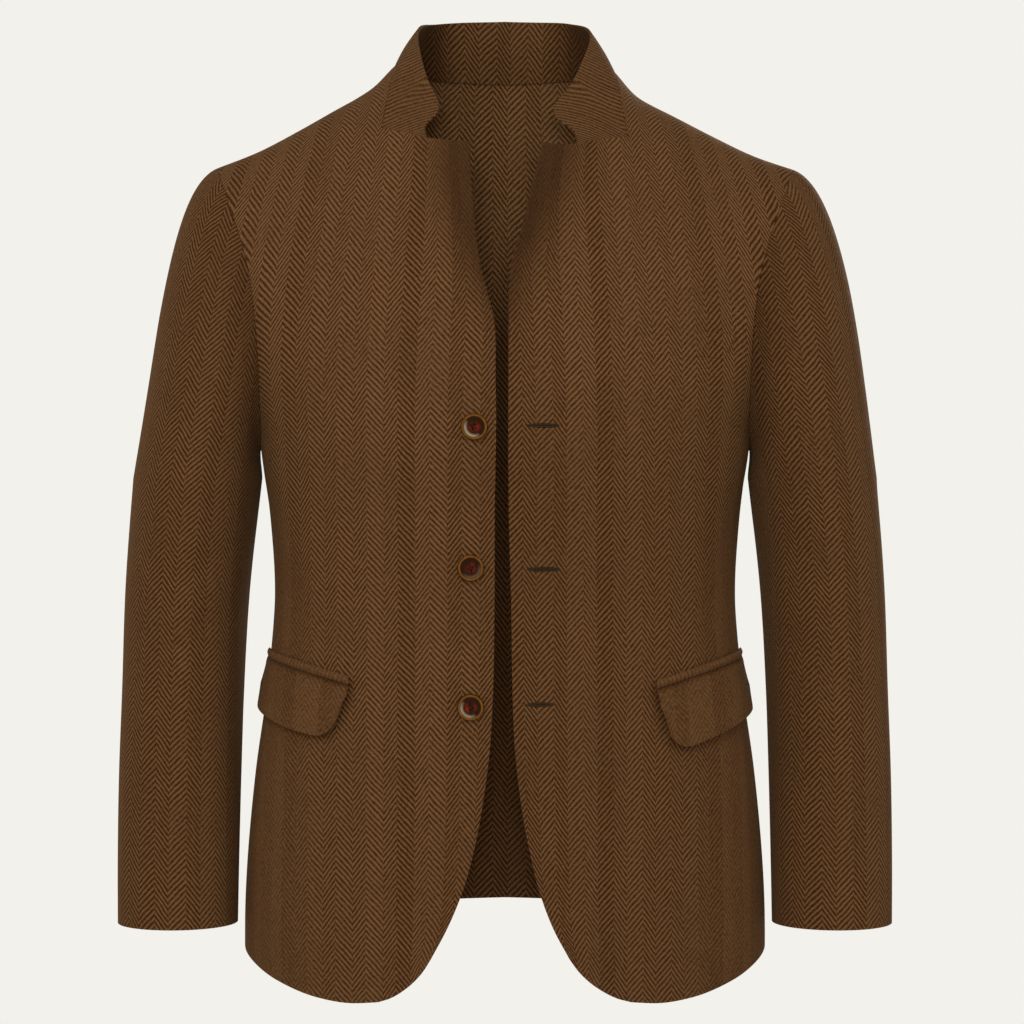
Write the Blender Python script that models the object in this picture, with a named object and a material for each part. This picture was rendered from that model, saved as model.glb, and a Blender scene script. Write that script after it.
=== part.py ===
"""A tweed jacket with a stand collar, filled out as if worn, built from its cut pieces.

Metres, +Z up. The front faces -Y and +X is the wearer's left. The origin lies between the
two neck points, at the height where the shoulders carry the jacket. Each piece of cloth is
a smooth surface worked out from the tables below, and a wall of even thickness inside it.
"""
import math

import bmesh
import bpy
import numpy as np
from mathutils import Matrix, Vector

RIGHT, LEFT = -1, 1                      # the wearer's sides, as the sign of X

# ---------------------------------------------------------------- driving sizes
CLOTH = 0.0022                           # thickness of the tweed wall
SEAM = 0.0004                            # gap left between two pieces at a seam
UNDERARM_Z = -0.337                      # height of the lowest point of the armhole
NECK_X = 0.0965                          # half the width between the neck points
NECK_BACK_Z = 0.003                      # height of the collar seam at the centre back
GORGE_X = 0.1063                         # where the gorge turns up towards the neck point
GORGE_Z = -0.0655
COLLAR_START_X = {RIGHT: 0.0652, LEFT: 0.0553}   # where the collar's ends meet the gorge
CORNER_X = {RIGHT: 0.0307, LEFT: 0.0343}         # the free top corner of each front
CORNER_Z = {RIGHT: -0.0832, LEFT: -0.0848}
COLLAR_START_Z = {RIGHT: -0.0734, LEFT: -0.0784}
LAPEL_ROLL = 0.040                       # how far the free front corner rolls forward
LAPEL_WIDTH = 0.068                      # width of that roll at the gorge
LAPEL_LAST_WIDTH = 0.35                  # share of that width left where the roll ends
LAPEL_TOP_Z, LAPEL_END_Z = -0.080, -0.300
LAPEL_BEND_LEVEL = 0.5                   # the front's columns turn to the gorge from here up

POCKET_GAP = 0.0010                      # air left under what lies on a front
POCKET_X = 0.15                          # distance from the centre where heights are taken
FLAP_Z = {RIGHT: -0.5385, LEFT: -0.5417} # height of the inner end of a hip pocket
FLAP_START = {RIGHT: 0.1330, LEFT: 0.1298}       # distance round the front from the centre
FLAP_WIDTH = {RIGHT: 0.1270, LEFT: 0.1302}
FLAP_RISE = {RIGHT: 0.0205, LEFT: 0.0238}        # how much higher its outer end is
FLAP_DROP = {RIGHT: 0.0438, LEFT: 0.0530}        # depth of the flap
FLAP_LESS = {RIGHT: 0.0, LEFT: 0.0048}           # how much shallower its outer end is
FLAP_BELLY = {RIGHT: 0.0038, LEFT: 0.0026}       # how far its lower edge sags between
FLAP_CORNER = 0.018                      # radius of its lower corners
FLAP_SLANT = 0.008                       # how far the inner end slopes outwards going down
FLAP_STAND = 0.0022                      # how far the flap's lower edge stands off further
CORNER_CROWDING = 0.6                    # how much closer the columns are at its corners
COLLAR_LIFT = 0.0011                     # the collar's seam stands this much clear
COLLAR_END_REACH = 0.2                   # share of the collar that its notched end shapes
JET_HEIGHT, JET_THICK, JET_BULGE = 0.0066, 0.0030, 0.0008
JET_SHORTER = 0.004                      # a jet ends this far inside the flap's outer end
WELT_START, WELT_WIDTH = 0.1120, 0.0840  # the chest pocket
WELT_Z, WELT_RISE, WELT_HEIGHT = -0.2420, 0.0095, 0.0230
WELT_THICK = 0.0016

CAP_LEAVES = (0.95, 0.30, 0.33)          # the cap leaves the armhole outwards, sideways, down
CAP_REACH = (0.005, 0.034)               # and keeps on so far at the underarm, more on top
CAP_DROP = (0.010, 0.150)                # it comes down into the tube from so far above
CAP_LEAN = 0.0255                        # leaning in by this much on top
CAP_INNER_X, CAP_OUTER_X = 0.24, 0.30    # the left cap stands out further between these
SETTLE_START_Z, SETTLE_FULL_Z = -0.25, -0.09     # and the shoulders differ from here up

BUTTON_RADIUS = 0.0113
BUTTON_THICK = 0.0040
BUTTON_SHANK = 0.0009                    # thread space between button and cloth
BUTTON_RIM, BUTTON_DISH = 0.0026, 0.0011 # width of its rim, depth of its hollow
BUTTON_SLOPE = 0.0012                    # width of the slope from rim to hollow
BUTTONS = {                              # distance from the centre line, height
    "top": (0.0252, -0.3206),
    "middle": (0.0285, -0.4391),
    "bottom": (0.0285, -0.5561)}

# ---------------------------------------------------------------- how fine the grids are
ROWS_BELOW, ROWS_ABOVE, ROWS_NECK = 13, 11, 4
LAPEL_COLUMNS, SIDE_COLUMNS, BACK_NECK_COLUMNS = 6, 7, 5
SLEEVE_CAP_ROWS, SLEEVE_ROWS = 7, 9
COLLAR_ROWS = 4
HEM_LEVEL = -0.8                         # the columns are shared out evenly at this level
FLAP_COLUMNS, FLAP_ROWS = 10, 5
BUTTON_SIDES = 24
SHARP_ANGLE = math.radians(45)           # edges sharper than this are shaded as corners


def table(names, *rows):
    """A small table with named columns, each a numpy array."""
    return dict(zip(names.split(), np.array(rows, dtype=float).T))


TORSO = table(                           # horizontal sections below the underarm
    "height half_width front_depth back_depth",
    (-0.810, 0.2292, 0.118, 0.129),
    (-0.730, 0.2288, 0.118, 0.130),
    (-0.620, 0.2199, 0.116, 0.127),
    (-0.540, 0.2090, 0.111, 0.116),
    (-0.461, 0.2036, 0.107, 0.105),
    (-0.400, 0.2073, 0.110, 0.107),
    (-0.337, 0.2152, 0.117, 0.116))
YOKE = table(                            # share 0 is the underarm level, 1 the shoulder line
    "share half_width front_depth back_depth armhole_front armhole_back",
    (0.00, 0.2152, 0.117, 0.116, 0.2152, 0.2152),
    (0.06, 0.2180, 0.118, 0.118, 0.2126, 0.2146),
    (0.15, 0.2275, 0.120, 0.121, 0.2118, 0.2150),
    (0.40, 0.2620, 0.122, 0.126, 0.2132, 0.2185),
    (0.60, 0.2860, 0.121, 0.127, 0.2205, 0.2255),
    (0.80, 0.3060, 0.120, 0.126, 0.2360, 0.2380),
    (1.00, 0.3250, 0.118, 0.125, 0.2535, 0.2535))
SHOULDER = table(                        # the shoulder line, and a ridge across the neck
    "distance height",
    (0.0000, 0.0720),
    (0.0500, 0.0360),
    (0.0965, 0.0000),
    (0.1155, -0.0200),
    (0.1300, -0.0303),
    (0.1480, -0.0409),
    (0.1830, -0.0609),
    (0.2170, -0.0778),
    (0.2535, -0.0903),
    (0.3300, -0.1130))
SETTLE = table(                          # the shoulders don't match: raised, right to left
    "distance raised",
    (-0.3300, 0.0000),
    (-0.2700, 0.0015),
    (-0.2200, 0.0040),
    (-0.1580, 0.0048),
    (-0.1200, 0.0036),
    (-0.0965, 0.0026),
    (-0.0700, 0.0000),
    (-0.0300, 0.0000),
    (0.0300, 0.0000),
    (0.0700, 0.0000),
    (0.0965, -0.0032),
    (0.1120, -0.0045),
    (0.1370, -0.0022),
    (0.1620, -0.0004),
    (0.3300, 0.0000))
LEFT_CAP = table(                        # the left sleeve stands out further near its cap
    "height outward",
    (-0.3700, 0.0000),
    (-0.2900, 0.0026),
    (-0.1200, 0.0032),
    (-0.0600, 0.0010))
FRONT_EDGE = table(                      # distance of each front's edge from the centre line
    "height right left",
    (-0.7672, 0.0619, 0.0545),
    (-0.7421, 0.0485, 0.0411),
    (-0.7170, 0.0377, 0.0313),
    (-0.6751, 0.0255, 0.0206),
    (-0.6332, 0.0177, 0.0133),
    (-0.5829, 0.0117, 0.0081),
    (-0.5503, 0.0100, 0.0068),
    (-0.4741, 0.0086, 0.0056),
    (-0.3970, 0.0083, 0.0036),
    (-0.2815, 0.0076, 0.0034),
    (-0.2278, 0.0104, 0.0044),
    (-0.2036, 0.0172, 0.0054),
    (-0.1860, 0.0215, 0.0068),
    (-0.1583, 0.0257, 0.0153),
    (-0.1307, 0.0280, 0.0218),
    (-0.1056, 0.0302, 0.0283),
    (-0.0800, 0.0307, 0.0343))
CUTAWAY = table(                         # hem from the end of the front edge to the gorge column
    "share height",
    (0.00, -0.7672),
    (0.14, -0.7772),
    (0.30, -0.7856),
    (0.52, -0.7940),
    (0.76, -0.8006),
    (1.00, -0.8044))
FRONT_HEM = table(                       # hem from the gorge column round to the side seam
    "angle height",
    (24.0, -0.8044),
    (32.0, -0.8064),
    (40.5, -0.8038),
    (55.5, -0.7935),
    (72.0, -0.7805),
    (90.0, -0.7700))
BACK_HEM = table(
    "angle height",
    (0.0, -0.7528),
    (45.0, -0.7590),
    (90.0, -0.7700))
SLEEVE = table(                          # horizontal rings from the biceps to the cuff
    "height centre_x half_width centre_y half_depth",
    (-0.750, 0.2858, 0.0522, -0.026, 0.048),
    (-0.700, 0.2864, 0.0529, -0.018, 0.051),
    (-0.620, 0.2866, 0.0536, -0.004, 0.056),
    (-0.550, 0.2854, 0.0536, 0.006, 0.062),
    (-0.461, 0.2818, 0.0547, 0.010, 0.069),
    (-0.362, 0.2722, 0.0565, 0.005, 0.076))
COLLAR_TOP = table(                      # top edge of the collar, from a front tip to the back
    "share x_right x_left y z_right z_left",
    (0.00, 0.0574, 0.0412, -0.072, -0.0387, -0.0440),
    (0.14, 0.0663, 0.0560, -0.058, -0.0193, -0.0250),
    (0.30, 0.0735, 0.0672, -0.036, 0.0051, 0.0000),
    (0.50, 0.0772, 0.0762, 0.004, 0.0360, 0.0336),
    (0.72, 0.0612, 0.0585, 0.046, 0.0490, 0.0486),
    (1.00, 0.0000, 0.0000, 0.064, 0.0545, 0.0545))
COLLAR_BULGE = 0.0018                    # how far its sides bow outwards
COLLAR_END = table(                      # the notched front end, from the gorge to the tip
    "share inward",
    (0.00, 0.0000),
    (0.35, -0.0060),
    (0.72, 0.0030),
    (1.00, 0.0000))
JET = table(                             # round the piping, from its top edge down
    "share bulge",
    (1.00, -1.0),
    (0.67, 0.6),
    (0.33, 0.6),
    (0.00, -0.6))
BUTTON_SIDE = table(                     # a button's side as shares of its radius and height
    "radius height",
    (0.00, 0.00),
    (0.55, 0.00),
    (0.93, 0.25),
    (1.00, 0.55),
    (0.97, 0.85),
    (0.90, 1.00))


def read(columns, name, at):
    """Smooth value of a table's column where its first column equals at."""
    knots, values = next(iter(columns.values())), columns[name]
    slopes = np.gradient(values, knots)
    at = np.clip(at, knots[0], knots[-1])
    k = np.clip(np.searchsorted(knots, at) - 1, 0, len(knots) - 2)
    gap = knots[k + 1] - knots[k]
    t = (at - knots[k]) / gap
    return (values[k] * (1 + 2 * t) * (1 - t) ** 2 + slopes[k] * gap * t * (1 - t) ** 2
            + values[k + 1] * t * t * (3 - 2 * t) + slopes[k + 1] * gap * t * t * (t - 1))


# ---------------------------------------------------------------- the form of the body
WIDTH_POWER = 2.3                        # squareness of a horizontal section
FRONT_ARCH, BACK_ARCH = 2.05, 2.6        # how full the yoke stays before it turns over


def shoulder_height(x):
    """Height of the shoulder line, which runs on as a ridge between the neck points."""
    return read(SHOULDER, "height", np.abs(x))


def section(level, name):
    """A size of the body at a level: a height below the underarm, or there 0 to 1 above it."""
    below = read(TORSO, name, np.minimum(level, UNDERARM_Z))
    return np.where(level < 0, below, read(YOKE, name, np.clip(level, 0, 1)))


def angle_of(x, level):
    """How far round the section a distance from the centre line is, in radians."""
    share = np.clip(np.abs(x) / section(level, "half_width"), 0, 1)
    return np.arcsin(share ** (WIDTH_POWER / 2))


def body_point(angle, level, front=True):
    """A point of the body on the +X side, from its angle round the section and its level."""
    power = 2 / WIDTH_POWER
    x = section(level, "half_width") * np.sin(angle) ** power
    depth = section(level, "front_depth" if front else "back_depth")
    depth = depth * np.clip(np.cos(angle), 0, 1) ** power
    share = np.clip(level, 0, 1)
    arch = FRONT_ARCH if front else BACK_ARCH
    depth = depth * (1 - share ** arch) ** (1 / arch) + SEAM / 2
    place = (x, -depth if front else depth, height_at(x, level))
    return np.stack(np.broadcast_arrays(*place), axis=-1)


def height_at(x, level):
    """Height of the body's surface at a distance from the centre line and a level."""
    above = UNDERARM_Z + np.clip(level, 0, 1) * (shoulder_height(x) - UNDERARM_Z)
    return np.where(level < 0, level, above)


def level_of(x, z):
    """The level at which the body has the height z at the distance x."""
    share = (z - UNDERARM_Z) / (shoulder_height(x) - UNDERARM_Z)
    return np.where(z < UNDERARM_Z, z, share)


def spread(start, end, count):
    """Levels above the underarm, closer together near both ends."""
    turn = np.linspace(0, math.pi, count + 1)
    return start + (end - start) * (1 - np.cos(turn)) / 2


# The rows of a panel: below the underarm each column has its own, from the hem up.
LEVELS_ABOVE = spread(0, 1, ROWS_ABOVE + ROWS_NECK)
GORGE_LEVEL = float(level_of(GORGE_X, GORGE_Z))
LEVELS_ABOVE[ROWS_ABOVE] = GORGE_LEVEL


def edge_x(side, z):
    return read(FRONT_EDGE, "right" if side == RIGHT else "left", z)


def edge_at(side, level):
    """Distance of a front's edge from the centre line at a level."""
    x = np.full(np.shape(level), CORNER_X[side])
    for _ in range(4):
        x = edge_x(side, height_at(x, level))
    return x


def lapel_roll(side, x, z):
    """How far the front rolls forward near its free upper edge."""
    rise = np.clip((z - LAPEL_END_Z) / (LAPEL_TOP_Z - LAPEL_END_Z), 0, 1)
    rise = rise * rise * (3 - 2 * rise)
    width = LAPEL_WIDTH * (LAPEL_LAST_WIDTH + (1 - LAPEL_LAST_WIDTH) * rise)
    near = np.clip(1 - (x - edge_x(side, z)) / width, 0, 1)
    return LAPEL_ROLL * rise * near ** 2


def front_point(side, angle, level):
    """A point on the outside of a front, with its lapel roll, on its own side."""
    point = body_point(angle, level)
    point[..., 1] -= lapel_roll(side, point[..., 0], point[..., 2])
    point[..., 0] *= side
    return point


def settled(points):
    """The same points where they lie on this jacket, whose two sides don't quite match."""
    x, z = points[..., 0], points[..., 2]
    high = np.clip((z - SETTLE_START_Z) / (SETTLE_FULL_Z - SETTLE_START_Z), 0, 1)
    out = np.clip((x - CAP_INNER_X) / (CAP_OUTER_X - CAP_INNER_X), 0, 1)
    moved = points.copy()
    moved[..., 0] += read(LEFT_CAP, "outward", z) * out
    moved[..., 2] += read(SETTLE, "raised", x) * high * high * (3 - 2 * high)
    return moved


# ---------------------------------------------------------------- meshes
def colour_of(red, green, blue):
    """A linear colour from the 0 to 255 values that a screen shows."""
    return [(v / 255 / 12.92 if v < 11 else ((v / 255 + 0.055) / 1.055) ** 2.4)
            for v in (red, green, blue)] + [1.0]


def make_material(name, colour, roughness):
    material = bpy.data.materials.new(name)
    material.use_nodes = True
    shader = material.node_tree.nodes["Principled BSDF"]
    shader.inputs["Base Color"].default_value = colour_of(*colour)
    shader.inputs["Roughness"].default_value = roughness
    shader.inputs["Metallic"].default_value = 0.0
    return material


def add_object(name, mesh, material):
    thing = bpy.data.objects.new(name, mesh)
    bpy.context.scene.collection.objects.link(thing)
    thing.parent = bpy.data.objects["jacket"]
    mesh.materials.append(material)
    return thing


def cloth(name, grid, material, keep=None, closed=False, outward=1, thickness=CLOTH):
    """A wall of cloth from a grid of points on its outside, thickened inwards."""
    rows, columns = grid.shape[:2]
    grid = settled(grid)
    along = np.gradient(grid, axis=0, edge_order=2)
    if closed:
        across = np.roll(grid, -1, axis=1) - np.roll(grid, 1, axis=1)
    else:
        across = np.gradient(grid, axis=1, edge_order=2)
    normal = np.cross(across, along) * outward
    normal /= np.linalg.norm(normal, axis=-1)[..., None]
    points = np.concatenate((grid.reshape(-1, 3), (grid - normal * thickness).reshape(-1, 3)))
    inside = rows * columns                  # a point's number on the inside is this much more
    outer = []
    for i in range(rows - 1):
        for j in range(columns if closed else columns - 1):
            if keep is None or keep(i, j):
                k = (j + 1) % columns
                face = (i * columns + j, i * columns + k,
                        (i + 1) * columns + k, (i + 1) * columns + j)
                outer.append(face[::outward])
    edges = {edge for face in outer for edge in zip(face, face[1:] + face[:1])}
    rim = [(b, a, a + inside, b + inside) for a, b in sorted(edges) if (b, a) not in edges]
    lining = [tuple(n + inside for n in face[::-1]) for face in outer]
    mesh = bpy.data.meshes.new(name)
    mesh.from_pydata(points.tolist(), [], outer + lining + rim)
    trim = bmesh.new()
    trim.from_mesh(mesh)
    loose = [vert for vert in trim.verts if not vert.link_faces]
    bmesh.ops.delete(trim, geom=loose, context="VERTS")
    trim.to_mesh(mesh)
    trim.free()
    mesh.shade_smooth()
    mesh.set_sharp_from_angle(angle=SHARP_ANGLE)
    return add_object(name, mesh, material)


# ---------------------------------------------------------------- fronts and back
def armhole_angle(level, front=True):
    """Where a panel ends: the side seam below the underarm, the armhole above it."""
    x = read(YOKE, "armhole_front" if front else "armhole_back", np.clip(level, 0, 1))
    return np.where(level > 0, angle_of(x, level), math.pi / 2)


def gorge_column_x(level):
    """The column below the gorge corner, which leans in to the neck point above it."""
    lean = np.clip((level - GORGE_LEVEL) / (1 - GORGE_LEVEL), 0, 1)
    return GORGE_X + (NECK_X - GORGE_X) * lean


def corner_height(side, x):
    """Height of a front's top edge, from its free corner to the gorge corner."""
    return np.interp(x, (CORNER_X[side], COLLAR_START_X[side], GORGE_X),
                     (CORNER_Z[side], COLLAR_START_Z[side], GORGE_Z))


def front_levels(hem, top_level):
    """Levels up one column, from its hem to its top level."""
    below = hem + (UNDERARM_Z - hem) * np.linspace(0, 1, ROWS_BELOW + 1)[:-1]
    above = LEVELS_ABOVE[:ROWS_ABOVE + 1] * (top_level / GORGE_LEVEL)
    return np.concatenate((below, above, LEVELS_ABOVE[ROWS_ABOVE + 1:]))


def front_grid(side):
    """Rows run up from the hem, columns from the front edge to the side seam."""
    columns = []
    hem_end_x = edge_x(side, CUTAWAY["height"][0])
    for share in np.linspace(0, 1, LAPEL_COLUMNS + 1):
        hem = float(read(CUTAWAY, "height", share))
        top_x = float(np.interp(share, (0, 0.5, 1),
                                (CORNER_X[side], COLLAR_START_X[side], GORGE_X)))
        level = front_levels(hem, float(level_of(top_x, corner_height(side, top_x))))
        inner = edge_at(side, level)
        inner[0] = hem_end_x
        x = inner * (1 - share) + gorge_column_x(level) * share
        bend = np.clip((level - LAPEL_BEND_LEVEL) / (GORGE_LEVEL - LAPEL_BEND_LEVEL), 0, 1)
        x = x + (top_x - CORNER_X[side] * (1 - share) - GORGE_X * share) * bend
        columns.append(front_point(side, angle_of(x, level), level))
    for share in np.linspace(0, 1, SIDE_COLUMNS + 1)[1:]:
        start = angle_of(GORGE_X, HEM_LEVEL)
        angle = math.degrees(start + (math.pi / 2 - start) * share)
        level = front_levels(float(read(FRONT_HEM, "height", angle)), GORGE_LEVEL)
        start = angle_of(gorge_column_x(level), level)
        columns.append(front_point(
            side, start + (armhole_angle(level) - start) * share, level))
    return np.stack(columns, axis=1)


def in_front(row, column):
    """The front has no cloth above its top edge, between the free corner and the gorge."""
    return row < ROWS_BELOW + ROWS_ABOVE or column >= LAPEL_COLUMNS


def back_neck_height(x):
    return NECK_BACK_Z * (1 - (x / NECK_X) ** 2)


def back_half():
    """Half of the back, columns from the centre back to the side seam."""
    columns = []
    total = BACK_NECK_COLUMNS + SIDE_COLUMNS
    for number in range(total + 1):
        neck = number <= BACK_NECK_COLUMNS
        if neck:
            lean = number / BACK_NECK_COLUMNS
            top_x = NECK_X * math.sin(lean * math.pi / 2)
            angle = math.degrees(float(angle_of(top_x, HEM_LEVEL)))
            top = float(level_of(top_x, back_neck_height(top_x)))
        else:
            lean = (number - BACK_NECK_COLUMNS) / SIDE_COLUMNS
            start = float(angle_of(NECK_X, HEM_LEVEL))
            angle = math.degrees(start + (math.pi / 2 - start) * lean)
            top = 1.0
        hem = float(read(BACK_HEM, "height", angle))
        below = hem + (UNDERARM_Z - hem) * np.linspace(0, 1, ROWS_BELOW + 1)[:-1]
        level = np.concatenate((below, LEVELS_ABOVE * top))
        if neck:
            columns.append(body_point(angle_of(np.full(level.shape, top_x), level),
                                      level, front=False))
        else:
            start = angle_of(np.full(level.shape, NECK_X), level)
            end = armhole_angle(level, front=False)
            columns.append(body_point(start + (end - start) * lean, level, front=False))
    return np.stack(columns, axis=1)


def back_grid():
    half = back_half()
    mirrored = half[:, :0:-1] * np.array((-1.0, 1.0, 1.0))
    return np.concatenate((mirrored, half), axis=1)


# ---------------------------------------------------------------- sleeves
def armhole_ring():
    """The armhole on the +X side, from the shoulder down the front and up the back."""
    levels = LEVELS_ABOVE
    front = body_point(armhole_angle(levels), levels)
    back = body_point(armhole_angle(levels, front=False), levels, front=False)
    return np.concatenate((front[::-1], back[1:-1]))


def sleeve_grid():
    """Rings on the +X side: a curved cap from the armhole, then the tube to the cuff."""
    start = armhole_ring()
    turn = np.concatenate((np.arccos(2 * LEVELS_ABOVE[::-1] - 1),
                           2 * math.pi - np.arccos(2 * LEVELS_ABOVE[1:-1] - 1)))
    high = (1 + np.cos(turn)) / 2
    outwards, sideways, down = CAP_LEAVES
    leave = np.stack(np.broadcast_arrays(outwards, -sideways * np.sin(turn), -down), axis=1)
    leave /= np.linalg.norm(leave, axis=1)[:, None]
    start = start + leave * SEAM

    def ring(height):
        sizes = {name: read(SLEEVE, name, height) for name in SLEEVE}
        return np.stack((sizes["centre_x"] + sizes["half_width"] * np.cos(turn),
                         sizes["centre_y"] - sizes["half_depth"] * np.sin(turn),
                         height + 0 * turn), axis=1)

    biceps_z = SLEEVE["height"][-1]
    biceps = ring(biceps_z)
    out_control = start + leave * (CAP_REACH[0] + CAP_REACH[1] * high)[:, None]
    up = np.stack((-CAP_LEAN * high, 0 * turn, CAP_DROP[0] + CAP_DROP[1] * high), axis=1)
    rings = []
    for t in np.linspace(0, 1, SLEEVE_CAP_ROWS + 1)[:-1]:
        rings.append(start * (1 - t) ** 3 + out_control * 3 * t * (1 - t) ** 2
                     + (biceps + up) * 3 * t * t * (1 - t) + biceps * t ** 3)
    for height in np.linspace(biceps_z, SLEEVE["height"][0], SLEEVE_ROWS + 1):
        rings.append(ring(height))
    return np.stack(rings)


# ---------------------------------------------------------------- collar
def neckline(side):
    """The collar seam of one side, along the panels' own edges, from end to centre back."""
    front, back = front_grid(side), back_half()
    gorge_row = ROWS_BELOW + ROWS_ABOVE
    gorge = front[gorge_row, LAPEL_COLUMNS // 2:LAPEL_COLUMNS]
    neck = front[gorge_row:, LAPEL_COLUMNS]
    behind = back[-1, BACK_NECK_COLUMNS - 1::-1] * np.array((side, 1.0, 1.0))
    return np.concatenate((gorge, neck, behind))


def collar_side(side):
    """Half of the collar: rows from the seam to the top edge, columns from end to centre."""
    name = "right" if side == RIGHT else "left"
    low = neckline(side)
    run = np.concatenate(([0], np.cumsum(np.linalg.norm(np.diff(low, axis=0), axis=1))))
    share = run / run[-1]
    top = np.stack((side * read(COLLAR_TOP, "x_" + name, share),
                    read(COLLAR_TOP, "y", share),
                    read(COLLAR_TOP, "z_" + name, share)), axis=1)
    rise = top - low
    low = low + rise / np.linalg.norm(rise, axis=1)[:, None] * (SEAM + COLLAR_LIFT)
    near_end = np.clip(1 - share / COLLAR_END_REACH, 0, 1) ** 2
    rows = []
    for t in np.linspace(0, 1, COLLAR_ROWS + 1):
        row = low * (1 - t) + top * t
        row[:, 0] -= side * read(COLLAR_END, "inward", t) * near_end
        row[:, 0] += side * COLLAR_BULGE * math.sin(math.pi * t) * np.sin(math.pi * share)
        rows.append(row)
    return np.stack(rows)


def collar_grid():
    right, left = collar_side(RIGHT), collar_side(LEFT)
    return np.concatenate((right, left[:, -2::-1]), axis=1)


# ---------------------------------------------------------------- pockets and buttons
def off_front(side, angle, level, off):
    """A point that stands off the outside of a front, and the front's normal there."""
    step = 0.002
    across = front_point(side, angle + step, level) - front_point(side, angle - step, level)
    up = front_point(side, angle, level + step) - front_point(side, angle, level - step)
    normal = np.cross(across, up) * side
    normal /= np.linalg.norm(normal, axis=-1)[..., None]
    return front_point(side, angle, level) + normal * np.asarray(off)[..., None], normal


def angle_round(run, height):
    """The angle round the front at a distance along the cloth from the centre line."""
    angle = np.linspace(0.001, math.pi / 2, 400)
    line = body_point(angle, level_of(POCKET_X, height))[:, :2]
    total = np.concatenate(([0], np.cumsum(np.linalg.norm(np.diff(line, axis=0), axis=1))))
    return np.interp(run, total, angle)


def strip_grid(side, start, width, z, rise, drops, offs, slant=0.0, corner=0.0, columns=10,
               belly=0.0, less=0.0):
    """A strip on a front: one row for each drop below its line, columns inner to outer."""
    share = np.linspace(0, 1, columns + 1)
    if corner:
        crowded = (1 - np.cos(share * math.pi)) / 2
        share = share + (crowded - share) * CORNER_CROWDING
    run = share * width
    edge = np.minimum(run, width - run)
    cut = np.clip(1 - edge / corner, 0, 1) if corner else 0 * share
    lift = corner * (1 - np.sqrt(1 - cut ** 2))
    deepest = max(drops)
    seen = body_point(angle_round(start + run, z), level_of(POCKET_X, z))[:, 0]
    climb = rise * (seen - seen[0]) / (seen[-1] - seen[0])
    rows = []
    for drop, off in zip(drops, offs):
        part = drop / deepest if deepest > 0 else 0
        sag = belly * np.sin(math.pi * share ** 0.75) - less * share
        down = drop + (sag - lift) * part
        place = start + run + slant * part * (1 - share)
        height = z + climb - down
        level = level_of(POCKET_X, height)
        point, _ = off_front(side, angle_round(place, z), level, off + 0 * share)
        rows.append(point)
    return np.stack(rows)


def flap_grid(side):
    part = np.linspace(0, 1, FLAP_ROWS + 1)
    off = POCKET_GAP + CLOTH + FLAP_STAND * part ** 1.5
    return strip_grid(side, FLAP_START[side], FLAP_WIDTH[side], FLAP_Z[side], FLAP_RISE[side],
                      part * FLAP_DROP[side], off, FLAP_SLANT, FLAP_CORNER, FLAP_COLUMNS,
                      FLAP_BELLY[side], FLAP_LESS[side])


def jet_grid(side):
    drops = -2 * SEAM - JET_HEIGHT * JET["share"]
    off = POCKET_GAP + JET_THICK + JET_BULGE * JET["bulge"]
    width = FLAP_WIDTH[side] - JET_SHORTER
    return strip_grid(side, FLAP_START[side], width, FLAP_Z[side],
                      FLAP_RISE[side] * width / FLAP_WIDTH[side], drops, off,
                      columns=FLAP_COLUMNS)


def welt_grid():
    drops = WELT_HEIGHT * np.linspace(0, 1, 4)
    return strip_grid(LEFT, WELT_START, WELT_WIDTH, WELT_Z, WELT_RISE, drops,
                      np.full(4, POCKET_GAP + WELT_THICK), columns=8)


def button(name, material):
    """A turned button: a rounded rim round a shallow dish, set square to the cloth."""
    dish, low = BUTTON_RADIUS - BUTTON_RIM, BUTTON_THICK - BUTTON_DISH
    profile = list(zip(BUTTON_SIDE["radius"] * BUTTON_RADIUS,
                       BUTTON_SIDE["height"] * BUTTON_THICK))
    profile += [(dish, BUTTON_THICK * 0.95), (dish - BUTTON_SLOPE, low), (0, low)]
    turned = bmesh.new()
    ring = [turned.verts.new((r, 0, h)) for r, h in profile]
    edges = [turned.edges.new(pair) for pair in zip(ring, ring[1:])]
    bmesh.ops.spin(turned, geom=ring + edges, axis=(0, 0, 1), cent=(0, 0, 0),
                   angle=2 * math.pi, steps=BUTTON_SIDES, use_merge=True)
    bmesh.ops.remove_doubles(turned, verts=turned.verts, dist=1e-6)
    bmesh.ops.recalc_face_normals(turned, faces=turned.faces)
    mesh = bpy.data.meshes.new("button_" + name)
    turned.to_mesh(mesh)
    turned.free()
    mesh.shade_smooth()
    mesh.set_sharp_from_angle(angle=SHARP_ANGLE)
    x, z = BUTTONS[name]
    point, normal = off_front(RIGHT, angle_of(x, z), level_of(x, z), BUTTON_SHANK)
    thing = add_object("button_" + name, mesh, material)
    turn = Vector(normal).to_track_quat("Z", "Y").to_matrix().to_4x4()
    thing.matrix_world = Matrix.Translation(Vector(point)) @ turn


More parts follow.
